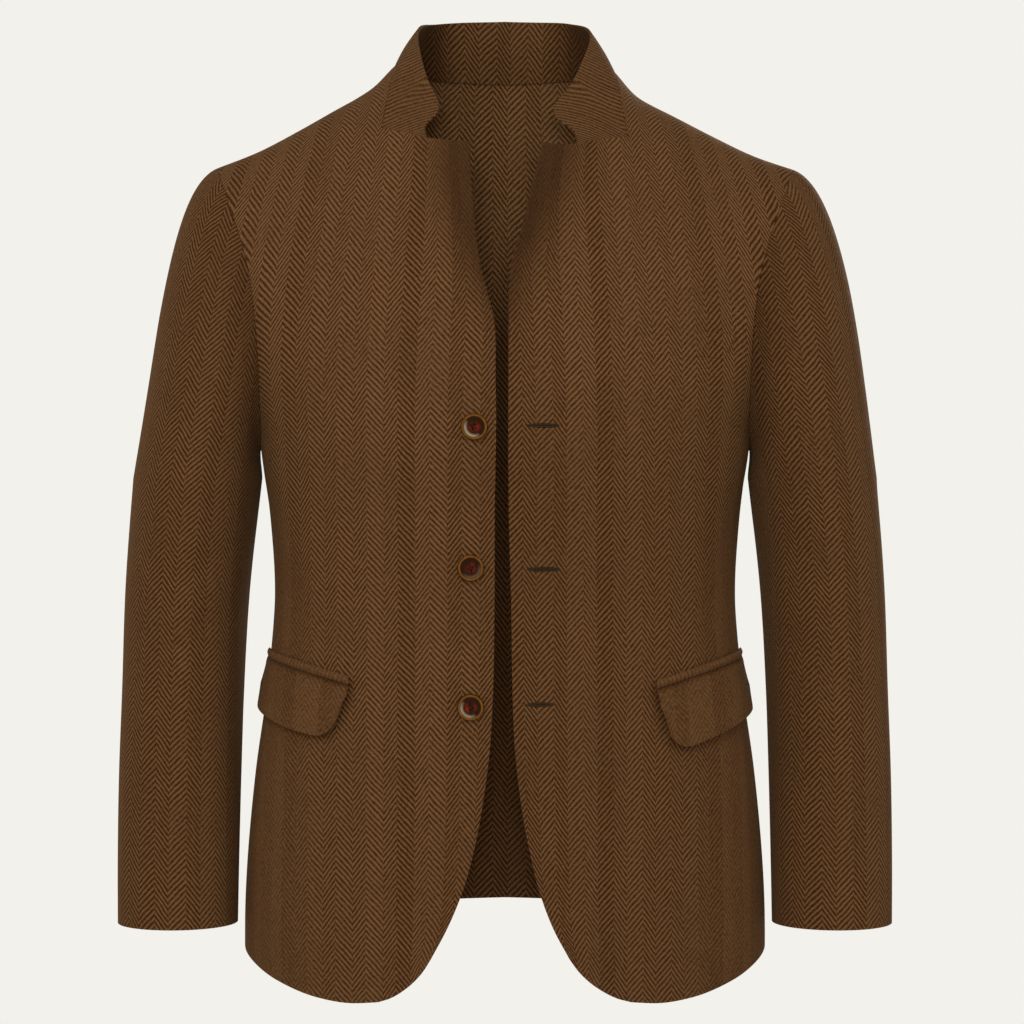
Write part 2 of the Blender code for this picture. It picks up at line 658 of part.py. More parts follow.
def build():
    for thing in list(bpy.data.objects):
        bpy.data.objects.remove(thing, do_unlink=True)
    root = bpy.data.objects.new("jacket", None)
    bpy.context.scene.collection.objects.link(root)
    tweed = make_material("tweed", (92, 63, 37), 0.9)
    horn = make_material("horn", (78, 42, 22), 0.3)
    for name, side in (("right", RIGHT), ("left", LEFT)):
        cloth("front_" + name, front_grid(side), tweed, keep=in_front, outward=side)
        grid = sleeve_grid() * np.array((side, 1.0, 1.0))
        cloth("sleeve_" + name, grid, tweed, closed=True, outward=side)
        cloth("pocket_flap_" + name, flap_grid(side), tweed, outward=-side)
        cloth("pocket_jet_" + name, jet_grid(side), tweed, outward=-side, thickness=JET_THICK)
    cloth("back", back_grid(), tweed, outward=-1)
    cloth("collar", collar_grid(), tweed, outward=-1)
    cloth("chest_welt", welt_grid(), tweed, outward=-1, thickness=WELT_THICK)
    for name in BUTTONS:
        button(name, horn)


build()
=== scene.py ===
# %% [markdown]
# # A herringbone tweed jacket
#
# This lesson dresses a tweed jacket in Blender. The jacket is filled out as if worn: two open
# fronts, a back, two sleeves, a small stand collar, two flap pockets, a chest pocket and three
# horn buttons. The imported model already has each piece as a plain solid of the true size. Here
# each piece is made again on the same form, with a finer surface, soft edges, creases and the
# woven pattern, and it stands for the plain solid in the picture.

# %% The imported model, and Blender's modules
import math

import bmesh
import bpy
import numpy as np
from mathutils import Matrix, Vector
from mathutils.kdtree import KDTree


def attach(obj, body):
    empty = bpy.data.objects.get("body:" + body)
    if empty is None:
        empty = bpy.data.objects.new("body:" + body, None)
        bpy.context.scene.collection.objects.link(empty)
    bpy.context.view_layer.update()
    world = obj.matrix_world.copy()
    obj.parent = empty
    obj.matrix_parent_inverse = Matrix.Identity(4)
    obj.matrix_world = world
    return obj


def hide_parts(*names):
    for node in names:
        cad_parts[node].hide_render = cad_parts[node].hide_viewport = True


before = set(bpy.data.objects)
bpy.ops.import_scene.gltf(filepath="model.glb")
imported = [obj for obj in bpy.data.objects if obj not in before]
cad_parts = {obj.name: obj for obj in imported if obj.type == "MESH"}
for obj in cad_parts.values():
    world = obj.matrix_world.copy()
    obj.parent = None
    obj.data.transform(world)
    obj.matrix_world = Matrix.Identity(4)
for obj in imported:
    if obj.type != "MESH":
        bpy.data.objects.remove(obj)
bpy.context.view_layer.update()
bpy.ops.object.select_all(action="DESELECT")

# %% [markdown]
# ## The sizes of the jacket
#
# A tailor starts from measures, and so does this script. They are in metres. Z is up, the
# front faces -Y, and +X is the wearer's left. The origin lies between the two neck points.
# The pieces share these measures, which is why their edges meet at every seam.

# %% Measures
RIGHT, LEFT = -1, 1                      # the wearer's sides, as the sign of X
SIDES = {RIGHT: "right", LEFT: "left"}
MIRROR = {side: np.array((side, 1.0, 1.0)) for side in SIDES}
CLOTH = 0.0022                           # thickness of the tweed
FOLDED_CLOTH, WELT_CLOTH = 0.0026, 0.0012    # collar and jets, and the chest pocket's welt
SEAM = 0.0001                            # gap left between two pieces at a seam
UNDERARM_Z = -0.337                      # height of the lowest point of the armhole
NECK_X = 0.0965                          # half the width between the neck points
NECK_BACK_Z = 0.003                      # height of the collar seam at the centre back
GORGE_X = 0.1063                         # where the gorge turns up towards the neck point
GORGE_Z = -0.0655
COLLAR_START_X = {RIGHT: 0.0652, LEFT: 0.0553}   # where the collar's ends meet the gorge
CORNER_X = {RIGHT: 0.0307, LEFT: 0.0343}         # the free top corner of each front
CORNER_Z = {RIGHT: -0.0832, LEFT: -0.0848}
COLLAR_START_Z = {RIGHT: -0.0734, LEFT: -0.0784}
LAPEL_ROLL = 0.040                       # how far the free front corner rolls forward
LAPEL_WIDTH = 0.068                      # width of that roll at the gorge
LAPEL_LAST_WIDTH = 0.35                  # share of that width left where the roll ends
LAPEL_TOP_Z, LAPEL_END_Z = -0.080, -0.300    # the roll is full at the first height
LAPEL_BEND_LEVEL = 0.5                   # from here up, columns bend out to the free corner
POCKET_GAP = 0.0010                      # air left under what lies on a front
POCKET_X = 0.15                          # distance from the centre where heights are taken
FLAP_Z = {RIGHT: -0.5385, LEFT: -0.5417}         # height of a hip pocket's inner end
FLAP_START = {RIGHT: 0.1330, LEFT: 0.1298}       # distance round the front from the centre
FLAP_WIDTH = {RIGHT: 0.1270, LEFT: 0.1302}
FLAP_RISE = {RIGHT: 0.0205, LEFT: 0.0238}        # how much higher its outer end is
FLAP_DROP = {RIGHT: 0.0438, LEFT: 0.0530}        # depth of the flap
FLAP_LESS = {RIGHT: 0.0010, LEFT: 0.0075}        # how much shallower its outer end is
FLAP_BELLY = {RIGHT: 0.0068, LEFT: 0.0034}       # how far its lower edge sags between
FLAP_CORNER, FLAP_SLANT = 0.018, 0.008   # radius of its corners, slope of its inner end
FLAP_STAND = 0.0036                      # how far the flap's lower edge stands off further
COLLAR_TUCK, COLLAR_DEEP = 0.0022, 0.0011    # the collar goes down behind the neck edge
COLLAR_END_REACH = 0.2                   # share of the collar that its notched end shapes
JET_HEIGHT, JET_THICK, JET_BULGE = 0.0070, 0.0030, 0.0012    # the piping above a flap
JET_SHORTER = 0.004                      # a jet ends this far inside the flap's outer end
WELT_START, WELT_WIDTH = 0.1120, 0.0840  # the chest pocket
WELT_Z, WELT_RISE, WELT_HEIGHT = -0.2420, 0.0095, 0.0230
CAP_LEAVES = (0.95, 0.30, 0.33)          # the sleeve cap leaves outwards, sideways, down
CAP_REACH, CAP_DROP, CAP_LEAN = (0.005, 0.034), (0.010, 0.150), 0.0255
CAP_INNER_X, CAP_OUTER_X = 0.24, 0.30    # the left cap moves outwards between these
SETTLE_START_Z, SETTLE_FULL_Z = -0.25, -0.09     # the shoulders settle above the first
BUTTON_RADIUS, BUTTON_THICK, BUTTON_SHANK = 0.0113, 0.0040, 0.0009   # shank: thread below it
BUTTONS = {"top": (0.0252, -0.3206), "middle": (0.0285, -0.4391), "bottom": (0.0285, -0.5561)}

# %% [markdown]
# ## How fine the cloth is
#
# A piece of cloth is a grid of points. The plain solids have few rows and columns. Here the
# grids are five to nine times finer each way, so that creases and curved seams stay smooth.

# %% Rows and columns
ROWS_BELOW, ROWS_ABOVE, ROWS_NECK = 100, 80, 26
LAPEL_COLUMNS, SIDE_COLUMNS, BACK_NECK_COLUMNS = 44, 60, 30
SLEEVE_CAP_ROWS, SLEEVE_ROWS = 44, 84
COLLAR_ROWS = 28
FLAP_COLUMNS, FLAP_ROWS = 64, 26
HEM_LEVEL = -0.8                         # the level at which hem angles are taken

# %% [markdown]
# ## Tables of sections
#
# A jacket form is judged by its sections: how wide and how deep it is at each height. Each row
# below is one section, one point of a hem or one point of the shoulder line.


# %% Tables
def table(names, *rows):
    """A small table with named columns, each a numpy array."""
    return dict(zip(names.split(), np.array(rows, dtype=float).T))


TORSO = table(
    "height half_width front_depth back_depth",
    (-0.810, 0.2292, 0.118, 0.129),
    (-0.730, 0.2288, 0.118, 0.130),
    (-0.620, 0.2199, 0.116, 0.127),
    (-0.540, 0.2090, 0.111, 0.116),
    (-0.461, 0.2036, 0.107, 0.105),
    (-0.400, 0.2073, 0.110, 0.107),
    (-0.337, 0.2152, 0.117, 0.116))
YOKE = table(
    "share half_width front_depth back_depth armhole_front armhole_back",
    (0.00, 0.2152, 0.117, 0.116, 0.2152, 0.2152),
    (0.06, 0.2180, 0.118, 0.118, 0.2126, 0.2146),
    (0.15, 0.2275, 0.120, 0.121, 0.2118, 0.2150),
    (0.40, 0.2620, 0.122, 0.126, 0.2132, 0.2185),
    (0.60, 0.2860, 0.121, 0.127, 0.2205, 0.2255),
    (0.80, 0.3060, 0.120, 0.126, 0.2360, 0.2380),
    (1.00, 0.3250, 0.118, 0.125, 0.2535, 0.2535))
SHOULDER = table(
    "distance height",
    (0.0000, 0.0720),
    (0.0500, 0.0360),
    (0.0965, 0.0000),
    (0.1155, -0.0200),
    (0.1300, -0.0303),
    (0.1480, -0.0409),
    (0.1830, -0.0609),
    (0.2170, -0.0778),
    (0.2535, -0.0903),
    (0.3300, -0.1130))
SETTLE = table(                          # how this jacket's shoulders sit, along X
    "distance raised",
    (-0.3300, 0.0000),
    (-0.2700, 0.0015),
    (-0.2200, 0.0040),
    (-0.1580, 0.0048),
    (-0.1200, 0.0036),
    (-0.0965, 0.0026),
    (-0.0700, 0.0000),
    (-0.0300, 0.0000),
    (0.0300, 0.0000),
    (0.0700, 0.0000),
    (0.0965, -0.0032),
    (0.1120, -0.0045),
    (0.1370, -0.0022),
    (0.1620, -0.0004),
    (0.3300, 0.0000))
LEFT_CAP = table(                        # how much fuller the left sleeve cap is
    "height outward",
    (-0.3700, 0.0000),
    (-0.2900, 0.0026),
    (-0.1200, 0.0032),
    (-0.0600, 0.0010))
FRONT_EDGE = table(                      # the open edges, from the hem to the corners
    "height right left",
    (-0.7672, 0.0619, 0.0545),
    (-0.7421, 0.0485, 0.0411),
    (-0.7170, 0.0377, 0.0313),
    (-0.6751, 0.0255, 0.0206),
    (-0.6332, 0.0177, 0.0133),
    (-0.5829, 0.0117, 0.0081),
    (-0.5503, 0.0100, 0.0068),
    (-0.4741, 0.0086, 0.0056),
    (-0.3970, 0.0083, 0.0036),
    (-0.2815, 0.0076, 0.0034),
    (-0.2278, 0.0104, 0.0044),
    (-0.2036, 0.0172, 0.0054),
    (-0.1860, 0.0215, 0.0068),
    (-0.1583, 0.0257, 0.0153),
    (-0.1307, 0.0280, 0.0218),
    (-0.1056, 0.0302, 0.0283),
    (-0.0800, 0.0307, 0.0343))
CUTAWAY = table(                         # the hem's rounded corner, from edge to gorge column
    "share height",
    (0.00, -0.7672),
    (0.14, -0.7772),
    (0.30, -0.7856),
    (0.52, -0.7940),
    (0.76, -0.8006),
    (1.00, -0.8044))
FRONT_HEM = table(
    "angle height",
    (24.0, -0.8044),
    (32.0, -0.8064),
    (40.5, -0.8038),
    (55.5, -0.7935),
    (72.0, -0.7805),
    (90.0, -0.7700))
BACK_HEM = table(
    "angle height",
    (0.0, -0.7528),
    (45.0, -0.7590),
    (90.0, -0.7700))
SLEEVE = table(                          # sections of the tube, from the cuff up
    "height centre_x half_width centre_y half_depth",
    (-0.750, 0.2858, 0.0522, -0.026, 0.048),
    (-0.700, 0.2864, 0.0529, -0.018, 0.051),
    (-0.620, 0.2866, 0.0536, -0.004, 0.056),
    (-0.550, 0.2854, 0.0536, 0.006, 0.062),
    (-0.461, 0.2818, 0.0547, 0.010, 0.069),
    (-0.362, 0.2722, 0.0565, 0.005, 0.076))
COLLAR_TOP = table(                      # the collar's upper edge, from an end to the back
    "share x_right x_left y z_right z_left",
    (0.00, 0.0574, 0.0412, -0.072, -0.0387, -0.0440),
    (0.14, 0.0663, 0.0560, -0.058, -0.0193, -0.0250),
    (0.30, 0.0735, 0.0672, -0.036, 0.0051, 0.0000),
    (0.50, 0.0772, 0.0762, 0.004, 0.0360, 0.0336),
    (0.72, 0.0612, 0.0585, 0.046, 0.0490, 0.0486),
    (1.00, 0.0000, 0.0000, 0.064, 0.0545, 0.0545))
COLLAR_BULGE = 0.0018                    # how far its sides bow outwards
COLLAR_END = table(                      # the notched end, from the gorge to the tip
    "share inward",
    (0.00, 0.0000),
    (0.35, -0.0046),
    (0.72, 0.0030),
    (1.00, 0.0000))

# %% [markdown]
# ## The form of the body
#
# A section of the body is a superellipse, squarer than an ellipse, as a tailor's form is. A
# point on it is found from its angle round the section and its level. Below the underarm the
# level is a height. Above it, it is the share of the way up to the shoulder line, where front
# and back meet.

# %% Form
WIDTH_POWER = 2.3                        # squareness of a section
FRONT_ARCH, BACK_ARCH = 2.05, 2.6        # how full the yoke stays before it turns over


def read(columns, name, at):
    """Smooth value of a table's column where its first column equals at."""
    knots, values = next(iter(columns.values())), columns[name]
    slopes = np.gradient(values, knots)
    at = np.clip(at, knots[0], knots[-1])
    k = np.clip(np.searchsorted(knots, at) - 1, 0, len(knots) - 2)
    gap = knots[k + 1] - knots[k]
    t = (at - knots[k]) / gap
    return (values[k] * (1 + 2 * t) * (1 - t) ** 2 + slopes[k] * gap * t * (1 - t) ** 2
            + values[k + 1] * t * t * (3 - 2 * t) + slopes[k + 1] * gap * t * t * (t - 1))


def smooth_step(value):
    value = np.clip(value, 0, 1)
    return value * value * (3 - 2 * value)


def shoulder_height(x):
    return read(SHOULDER, "height", np.abs(x))


def section(level, name):
    below = read(TORSO, name, np.minimum(level, UNDERARM_Z))
    return np.where(level < 0, below, read(YOKE, name, np.clip(level, 0, 1)))


def angle_of(x, level):
    share = np.clip(np.abs(x) / section(level, "half_width"), 0, 1)
    return np.arcsin(share ** (WIDTH_POWER / 2))


def height_at(x, level):
    above = UNDERARM_Z + np.clip(level, 0, 1) * (shoulder_height(x) - UNDERARM_Z)
    return np.where(level < 0, level, above)


def level_of(x, z):
    share = (z - UNDERARM_Z) / (shoulder_height(x) - UNDERARM_Z)
    return np.where(z < UNDERARM_Z, z, share)


def body_point(angle, level, front=True):
    """A point of the body on the +X side."""
    power = 2 / WIDTH_POWER
    x = section(level, "half_width") * np.sin(angle) ** power
    depth = section(level, "front_depth" if front else "back_depth")
    depth = depth * np.clip(np.cos(angle), 0, 1) ** power
    share = np.clip(level, 0, 1)
    arch = FRONT_ARCH if front else BACK_ARCH
    depth = depth * (1 - share ** arch) ** (1 / arch) + SEAM / 2
    place = (x, -depth if front else depth, height_at(x, level))
    return np.stack(np.broadcast_arrays(*place), axis=-1)


LEVELS_ABOVE = (1 - np.cos(np.linspace(0, math.pi, ROWS_ABOVE + ROWS_NECK + 1))) / 2
GORGE_LEVEL = float(level_of(GORGE_X, GORGE_Z))
reach = LEVELS_ABOVE[ROWS_ABOVE]
LEVELS_ABOVE = np.where(LEVELS_ABOVE <= reach, LEVELS_ABOVE * GORGE_LEVEL / reach,
                        1 - (1 - LEVELS_ABOVE) * (1 - GORGE_LEVEL) / (1 - reach))
print("gorge at share", round(GORGE_LEVEL, 3), "of the yoke")

# %% [markdown]
# ## Fronts
#
# A front is cut with a curved edge that opens towards the hem. Its free top corner isn't
# pressed back as a lapel, so it rolls gently forward. The grid's columns run from that edge to
# the side seam, and its rows from the hem to the shoulder.


# %% The grid of a front
def edge_x(side, z):
    return read(FRONT_EDGE, SIDES[side], z)


def edge_at(side, level):
    """Distance of a front's edge from the centre line at a level, closer at each round."""
    x = np.full(np.shape(level), CORNER_X[side])
    for _ in range(4):
        x = edge_x(side, height_at(x, level))
    return x


def lapel_roll(side, x, z):
    """How far the front rolls forward near its free upper edge."""
    rise = smooth_step((z - LAPEL_END_Z) / (LAPEL_TOP_Z - LAPEL_END_Z))
    width = LAPEL_WIDTH * (LAPEL_LAST_WIDTH + (1 - LAPEL_LAST_WIDTH) * rise)
    near = np.clip(1 - (x - edge_x(side, z)) / width, 0, 1)
    return LAPEL_ROLL * rise * near ** 2


def front_point(side, angle, level):
    point = body_point(angle, level)
    point[..., 1] -= lapel_roll(side, point[..., 0], point[..., 2])
    return point * MIRROR[side]


def armhole_angle(level, front=True):
    x = read(YOKE, "armhole_front" if front else "armhole_back", np.clip(level, 0, 1))
    return np.where(level > 0, angle_of(x, level), math.pi / 2)


def gorge_column_x(level):
    lean = np.clip((level - GORGE_LEVEL) / (1 - GORGE_LEVEL), 0, 1)
    return GORGE_X + (NECK_X - GORGE_X) * lean


def corner_height(side, x):
    return np.interp(x, (CORNER_X[side], COLLAR_START_X[side], GORGE_X),
                     (CORNER_Z[side], COLLAR_START_Z[side], GORGE_Z))


def front_levels(hem, top_level):
    below = hem + (UNDERARM_Z - hem) * np.linspace(0, 1, ROWS_BELOW + 1)[:-1]
    above = LEVELS_ABOVE[:ROWS_ABOVE + 1] * (top_level / GORGE_LEVEL)
    return np.concatenate((below, above, LEVELS_ABOVE[ROWS_ABOVE + 1:]))


def front_grid(side):
    """Rows run up from the hem, columns from the front edge to the side seam."""
    columns = []
    hem_end_x = edge_x(side, CUTAWAY["height"][0])
    for share in np.linspace(0, 1, LAPEL_COLUMNS + 1):
        hem = float(read(CUTAWAY, "height", share))
        top_x = float(np.interp(share, (0, 0.5, 1),
                                (CORNER_X[side], COLLAR_START_X[side], GORGE_X)))
        level = front_levels(hem, float(level_of(top_x, corner_height(side, top_x))))
        inner = edge_at(side, level)
        inner[0] = hem_end_x
        x = inner * (1 - share) + gorge_column_x(level) * share
        bend = np.clip((level - LAPEL_BEND_LEVEL) / (GORGE_LEVEL - LAPEL_BEND_LEVEL), 0, 1)
        x = x + (top_x - CORNER_X[side] * (1 - share) - GORGE_X * share) * bend
        columns.append(front_point(side, angle_of(x, level), level))
    hem_start = angle_of(GORGE_X, HEM_LEVEL)
    for share in np.linspace(0, 1, SIDE_COLUMNS + 1)[1:]:
        angle = math.degrees(hem_start + (math.pi / 2 - hem_start) * share)
        level = front_levels(float(read(FRONT_HEM, "height", angle)), GORGE_LEVEL)
        start = angle_of(gorge_column_x(level), level)
        columns.append(front_point(
            side, start + (armhole_angle(level) - start) * share, level))
    return np.stack(columns, axis=1)


def in_front(row, column):
    """There is no cloth above the top edge, between the free corner and the gorge."""
    return row < ROWS_BELOW + ROWS_ABOVE or column >= LAPEL_COLUMNS


# %% [markdown]
# ## Back, sleeves and collar
#
# The back is one piece. A sleeve starts on the armhole that front and back leave open, curves
# over as a cap and runs down as a tube that bends forward a little at the elbow. The collar
# starts on the edge that fronts and back leave round the neck.


# %% The other grids
def back_half():
    """Half of the back, columns from the centre back to the side seam."""
    columns = []
    for number in range(BACK_NECK_COLUMNS + SIDE_COLUMNS + 1):
        neck = number <= BACK_NECK_COLUMNS
        if neck:
            top_x = NECK_X * math.sin(number / BACK_NECK_COLUMNS * math.pi / 2)
            angle = math.degrees(float(angle_of(top_x, HEM_LEVEL)))
            top = float(level_of(top_x, NECK_BACK_Z * (1 - (top_x / NECK_X) ** 2)))
        else:
            lean = (number - BACK_NECK_COLUMNS) / SIDE_COLUMNS
            start = float(angle_of(NECK_X, HEM_LEVEL))
            angle = math.degrees(start + (math.pi / 2 - start) * lean)
            top = 1.0
        hem = float(read(BACK_HEM, "height", angle))
        below = hem + (UNDERARM_Z - hem) * np.linspace(0, 1, ROWS_BELOW + 1)[:-1]
        level = np.concatenate((below, LEVELS_ABOVE * top))
        if neck:
            columns.append(body_point(angle_of(np.full(level.shape, top_x), level),
                                      level, front=False))
        else:
            start = angle_of(np.full(level.shape, NECK_X), level)
            end = armhole_angle(level, front=False)
            columns.append(body_point(start + (end - start) * lean, level, front=False))
    return np.stack(columns, axis=1)


def back_grid():
    half = back_half()
    return np.concatenate((half[:, :0:-1] * MIRROR[RIGHT], half), axis=1)


def armhole_ring():
    """The armhole on the +X side, from the shoulder down the front and up the back."""
    front = body_point(armhole_angle(LEVELS_ABOVE), LEVELS_ABOVE)
    back = body_point(armhole_angle(LEVELS_ABOVE, front=False), LEVELS_ABOVE, front=False)
    return np.concatenate((front[::-1], back[1:-1]))


def sleeve_grid():
    """Rings on the +X side: a curved cap from the armhole, then the tube to the cuff."""
    start = armhole_ring()
    turn = np.concatenate((np.arccos(2 * LEVELS_ABOVE[::-1] - 1),
                           2 * math.pi - np.arccos(2 * LEVELS_ABOVE[1:-1] - 1)))
    high = (1 + np.cos(turn)) / 2
    outwards, sideways, down = CAP_LEAVES
    leave = np.stack(np.broadcast_arrays(outwards, -sideways * np.sin(turn), -down), axis=1)
    leave = leave / np.linalg.norm(leave, axis=1)[:, None]
    start = start + leave * SEAM

    def ring(height):
        sizes = {name: read(SLEEVE, name, height) for name in SLEEVE}
        return np.stack((sizes["centre_x"] + sizes["half_width"] * np.cos(turn),
                         sizes["centre_y"] - sizes["half_depth"] * np.sin(turn),
                         height + 0 * turn), axis=1)

    biceps_z = SLEEVE["height"][-1]
    biceps = ring(biceps_z)
    out_control = start + leave * (CAP_REACH[0] + CAP_REACH[1] * high)[:, None]
    up = np.stack((-CAP_LEAN * high, 0 * turn, CAP_DROP[0] + CAP_DROP[1] * high), axis=1)
    rings = []
    for t in np.linspace(0, 1, SLEEVE_CAP_ROWS + 1)[:-1]:
        rings.append(start * (1 - t) ** 3 + out_control * 3 * t * (1 - t) ** 2
                     + (biceps + up) * 3 * t * t * (1 - t) + biceps * t ** 3)
    for height in np.linspace(biceps_z, SLEEVE["height"][0], SLEEVE_ROWS + 1):
        rings.append(ring(height))
    return np.stack(rings)


def neckline(side):
    """The collar seam of one side, along the panels' own edges, from end to centre back."""
    front, back = front_grid(side), back_half()
    gorge_row = ROWS_BELOW + ROWS_ABOVE
    gorge = front[gorge_row, LAPEL_COLUMNS // 2:LAPEL_COLUMNS]
    neck = front[gorge_row:, LAPEL_COLUMNS]
    behind = back[-1, BACK_NECK_COLUMNS - 1::-1] * MIRROR[side]
    return np.concatenate((gorge, neck, behind))


def collar_side(side):
    name = SIDES[side]
    low = neckline(side)
    run = np.concatenate(([0], np.cumsum(np.linalg.norm(np.diff(low, axis=0), axis=1))))
    share = run / run[-1]
    top = np.stack((side * read(COLLAR_TOP, "x_" + name, share),
                    read(COLLAR_TOP, "y", share),
                    read(COLLAR_TOP, "z_" + name, share)), axis=1)
    rise = top - low
    tuck = smooth_step(np.abs(low[:, 1]) / 0.04)
    low = low - rise * (COLLAR_TUCK * tuck / np.linalg.norm(rise, axis=1))[:, None]
    low[:, 1] -= np.sign(low[:, 1]) * COLLAR_DEEP * tuck
    near_end = np.clip(1 - share / COLLAR_END_REACH, 0, 1) ** 2
    rows = []
    for t in np.linspace(0, 1, COLLAR_ROWS + 1):
        row = low * (1 - t) + top * t
        row[:, 0] -= side * read(COLLAR_END, "inward", t) * near_end
        row[:, 0] += side * COLLAR_BULGE * math.sin(math.pi * t) * np.sin(math.pi * share)
        rows.append(row)
    return np.stack(rows)


def collar_grid():
    right, left = collar_side(RIGHT), collar_side(LEFT)
    return np.concatenate((right, left[:, -2::-1]), axis=1)


# %% [markdown]
# ## What lies on a front
#
# A pocket flap is cut to the shape of the cloth that it hangs on. So its points are found on
# the front first, and moved out along the front's normal. The grid of a strip has one row for
# each drop below its line.


# %% Strips on a front
def off_front(side, angle, level, off):
    """A point that stands off the outside of a front, and the front's normal there."""
    step = 0.002
    across = front_point(side, angle + step, level) - front_point(side, angle - step, level)
    up = front_point(side, angle, level + step) - front_point(side, angle, level - step)
    normal = np.cross(across, up) * side
    normal /= np.linalg.norm(normal, axis=-1)[..., None]
    return front_point(side, angle, level) + normal * np.asarray(off)[..., None], normal


def angle_round(run, height):
    """The angle round the front at a distance along the cloth from the centre line."""
    angle = np.linspace(0.001, math.pi / 2, 400)
    line = body_point(angle, level_of(POCKET_X, height))[:, :2]
    total = np.concatenate(([0], np.cumsum(np.linalg.norm(np.diff(line, axis=0), axis=1))))
    return np.interp(run, total, angle)


def strip_grid(side, start, width, z, rise, drops, offs, slant=0.0, corner=0.0, columns=48,
               belly=0.0, less=0.0):
    """Rows of a strip, one for each drop below its line, columns from inner to outer end."""
    share = np.linspace(0, 1, columns + 1)
    if corner:
        share = share + ((1 - np.cos(share * math.pi)) / 2 - share) * 0.6
    run = share * width
    edge = np.minimum(run, width - run)
    cut = np.clip(1 - edge / corner, 0, 1) if corner else 0 * share
    lift = corner * (1 - np.sqrt(1 - cut ** 2))
    seen = body_point(angle_round(start + run, z), level_of(POCKET_X, z))[:, 0]
    climb = rise * (seen - seen[0]) / (seen[-1] - seen[0])
    rows = []
    for drop, off in zip(drops, offs):
        part = drop / max(drops) if max(drops) > 0 else 0
        place = start + run + slant * part * (1 - share)
        sag = belly * np.sin(math.pi * share ** 0.75) - less * share
        height = z + climb - (drop + (sag - lift) * part)
        point, _ = off_front(side, angle_round(place, z), level_of(POCKET_X, height),
                             off + 0 * share)
        rows.append(point)
    return np.stack(rows)


# %% [markdown]
# ## Where the weave runs
#
# Herringbone has to run straight down each piece, as the threads of the cloth do. So every
# point gets a place on the flat cloth, in metres: how far across from a straight grain line,
# and how far up. These two numbers are kept in a UV map named weave, which the material reads.
# Distances are measured along the surface, so the pattern keeps its true size on every curve.


# %% Places on the flat cloth
LEAST_CLIMB = 0.3                        # a step up the cloth climbs at least this share


def lengths(points, axis):
    """Running length along an axis of a grid, from its first point."""
    steps = np.linalg.norm(np.diff(points, axis=axis), axis=-1)
    zero = np.zeros_like(np.take(steps, [0], axis=axis))
    return np.cumsum(np.concatenate((zero, steps), axis=axis), axis=axis)


def grain(points, grain_column, base_row, across_at_grain, across=None):
    """Places on the flat cloth: a straight grain column, and heights from a base row."""
    run = lengths(points, 1)
    if across is None:
        across = run - run[:, grain_column][:, None] + np.reshape(across_at_grain, (-1, 1))
    step = np.linalg.norm(np.diff(points, axis=0), axis=-1)
    level_part = np.diff(across, axis=0)
    step = np.sqrt(np.maximum(step ** 2 - level_part ** 2, (LEAST_CLIMB * step) ** 2))
    up = np.cumsum(np.concatenate((np.zeros((1, points.shape[1])), step)), axis=0)
    return np.stack((across, up - up[base_row]), axis=-1)


# %% [markdown]
# A sleeve hangs from the shoulder along a line that leans outwards, and its grain follows that
# line. So on a sleeve, the distance across is the length of the arc between a point and the
# middle of the sleeve's front, measured level round the arm, also up in the cap.


# %% Across a sleeve
def sleeve_across(points, ridge):
    """Arc from the front's middle line, on the +X side. ridge is the sleeve's outer line."""
    low = np.minimum(points[..., 2], SLEEVE["height"][-1])
    half, deep = read(SLEEVE, "half_width", low), read(SLEEVE, "half_depth", low)
    outer = np.interp(points[..., 2], ridge[::-1, 2], ridge[::-1, 0])
    end = np.arcsin(np.clip((points[..., 0] - outer) / half + 1, -1, 1))

    def arc(angle):
        steps = np.linspace(0, 1, 41) * angle[..., None]
        speed = np.hypot(half[..., None] * np.cos(steps), deep[..., None] * np.sin(steps))
        return speed.mean(axis=-1) * angle

    front, quarter = arc(end), arc(0 * end + math.pi / 2)
    middle = read(SLEEVE, "centre_y", low)
    middle = middle + (0 - middle) * smooth_step((points[..., 2] - SLEEVE["height"][-1]) / 0.2)
    return np.where(points[..., 1] < middle, front, 2 * quarter - front)


# %% [markdown]
# ## Creases
#
# Pressed tweed is smooth, but it isn't a shell. It pulls softly from the armholes to the
# waist, and the sleeves break at the elbow. Each row of the table is one soft trough, with its
# own ends, width and depth, seen from the front or from the back. None is like another.

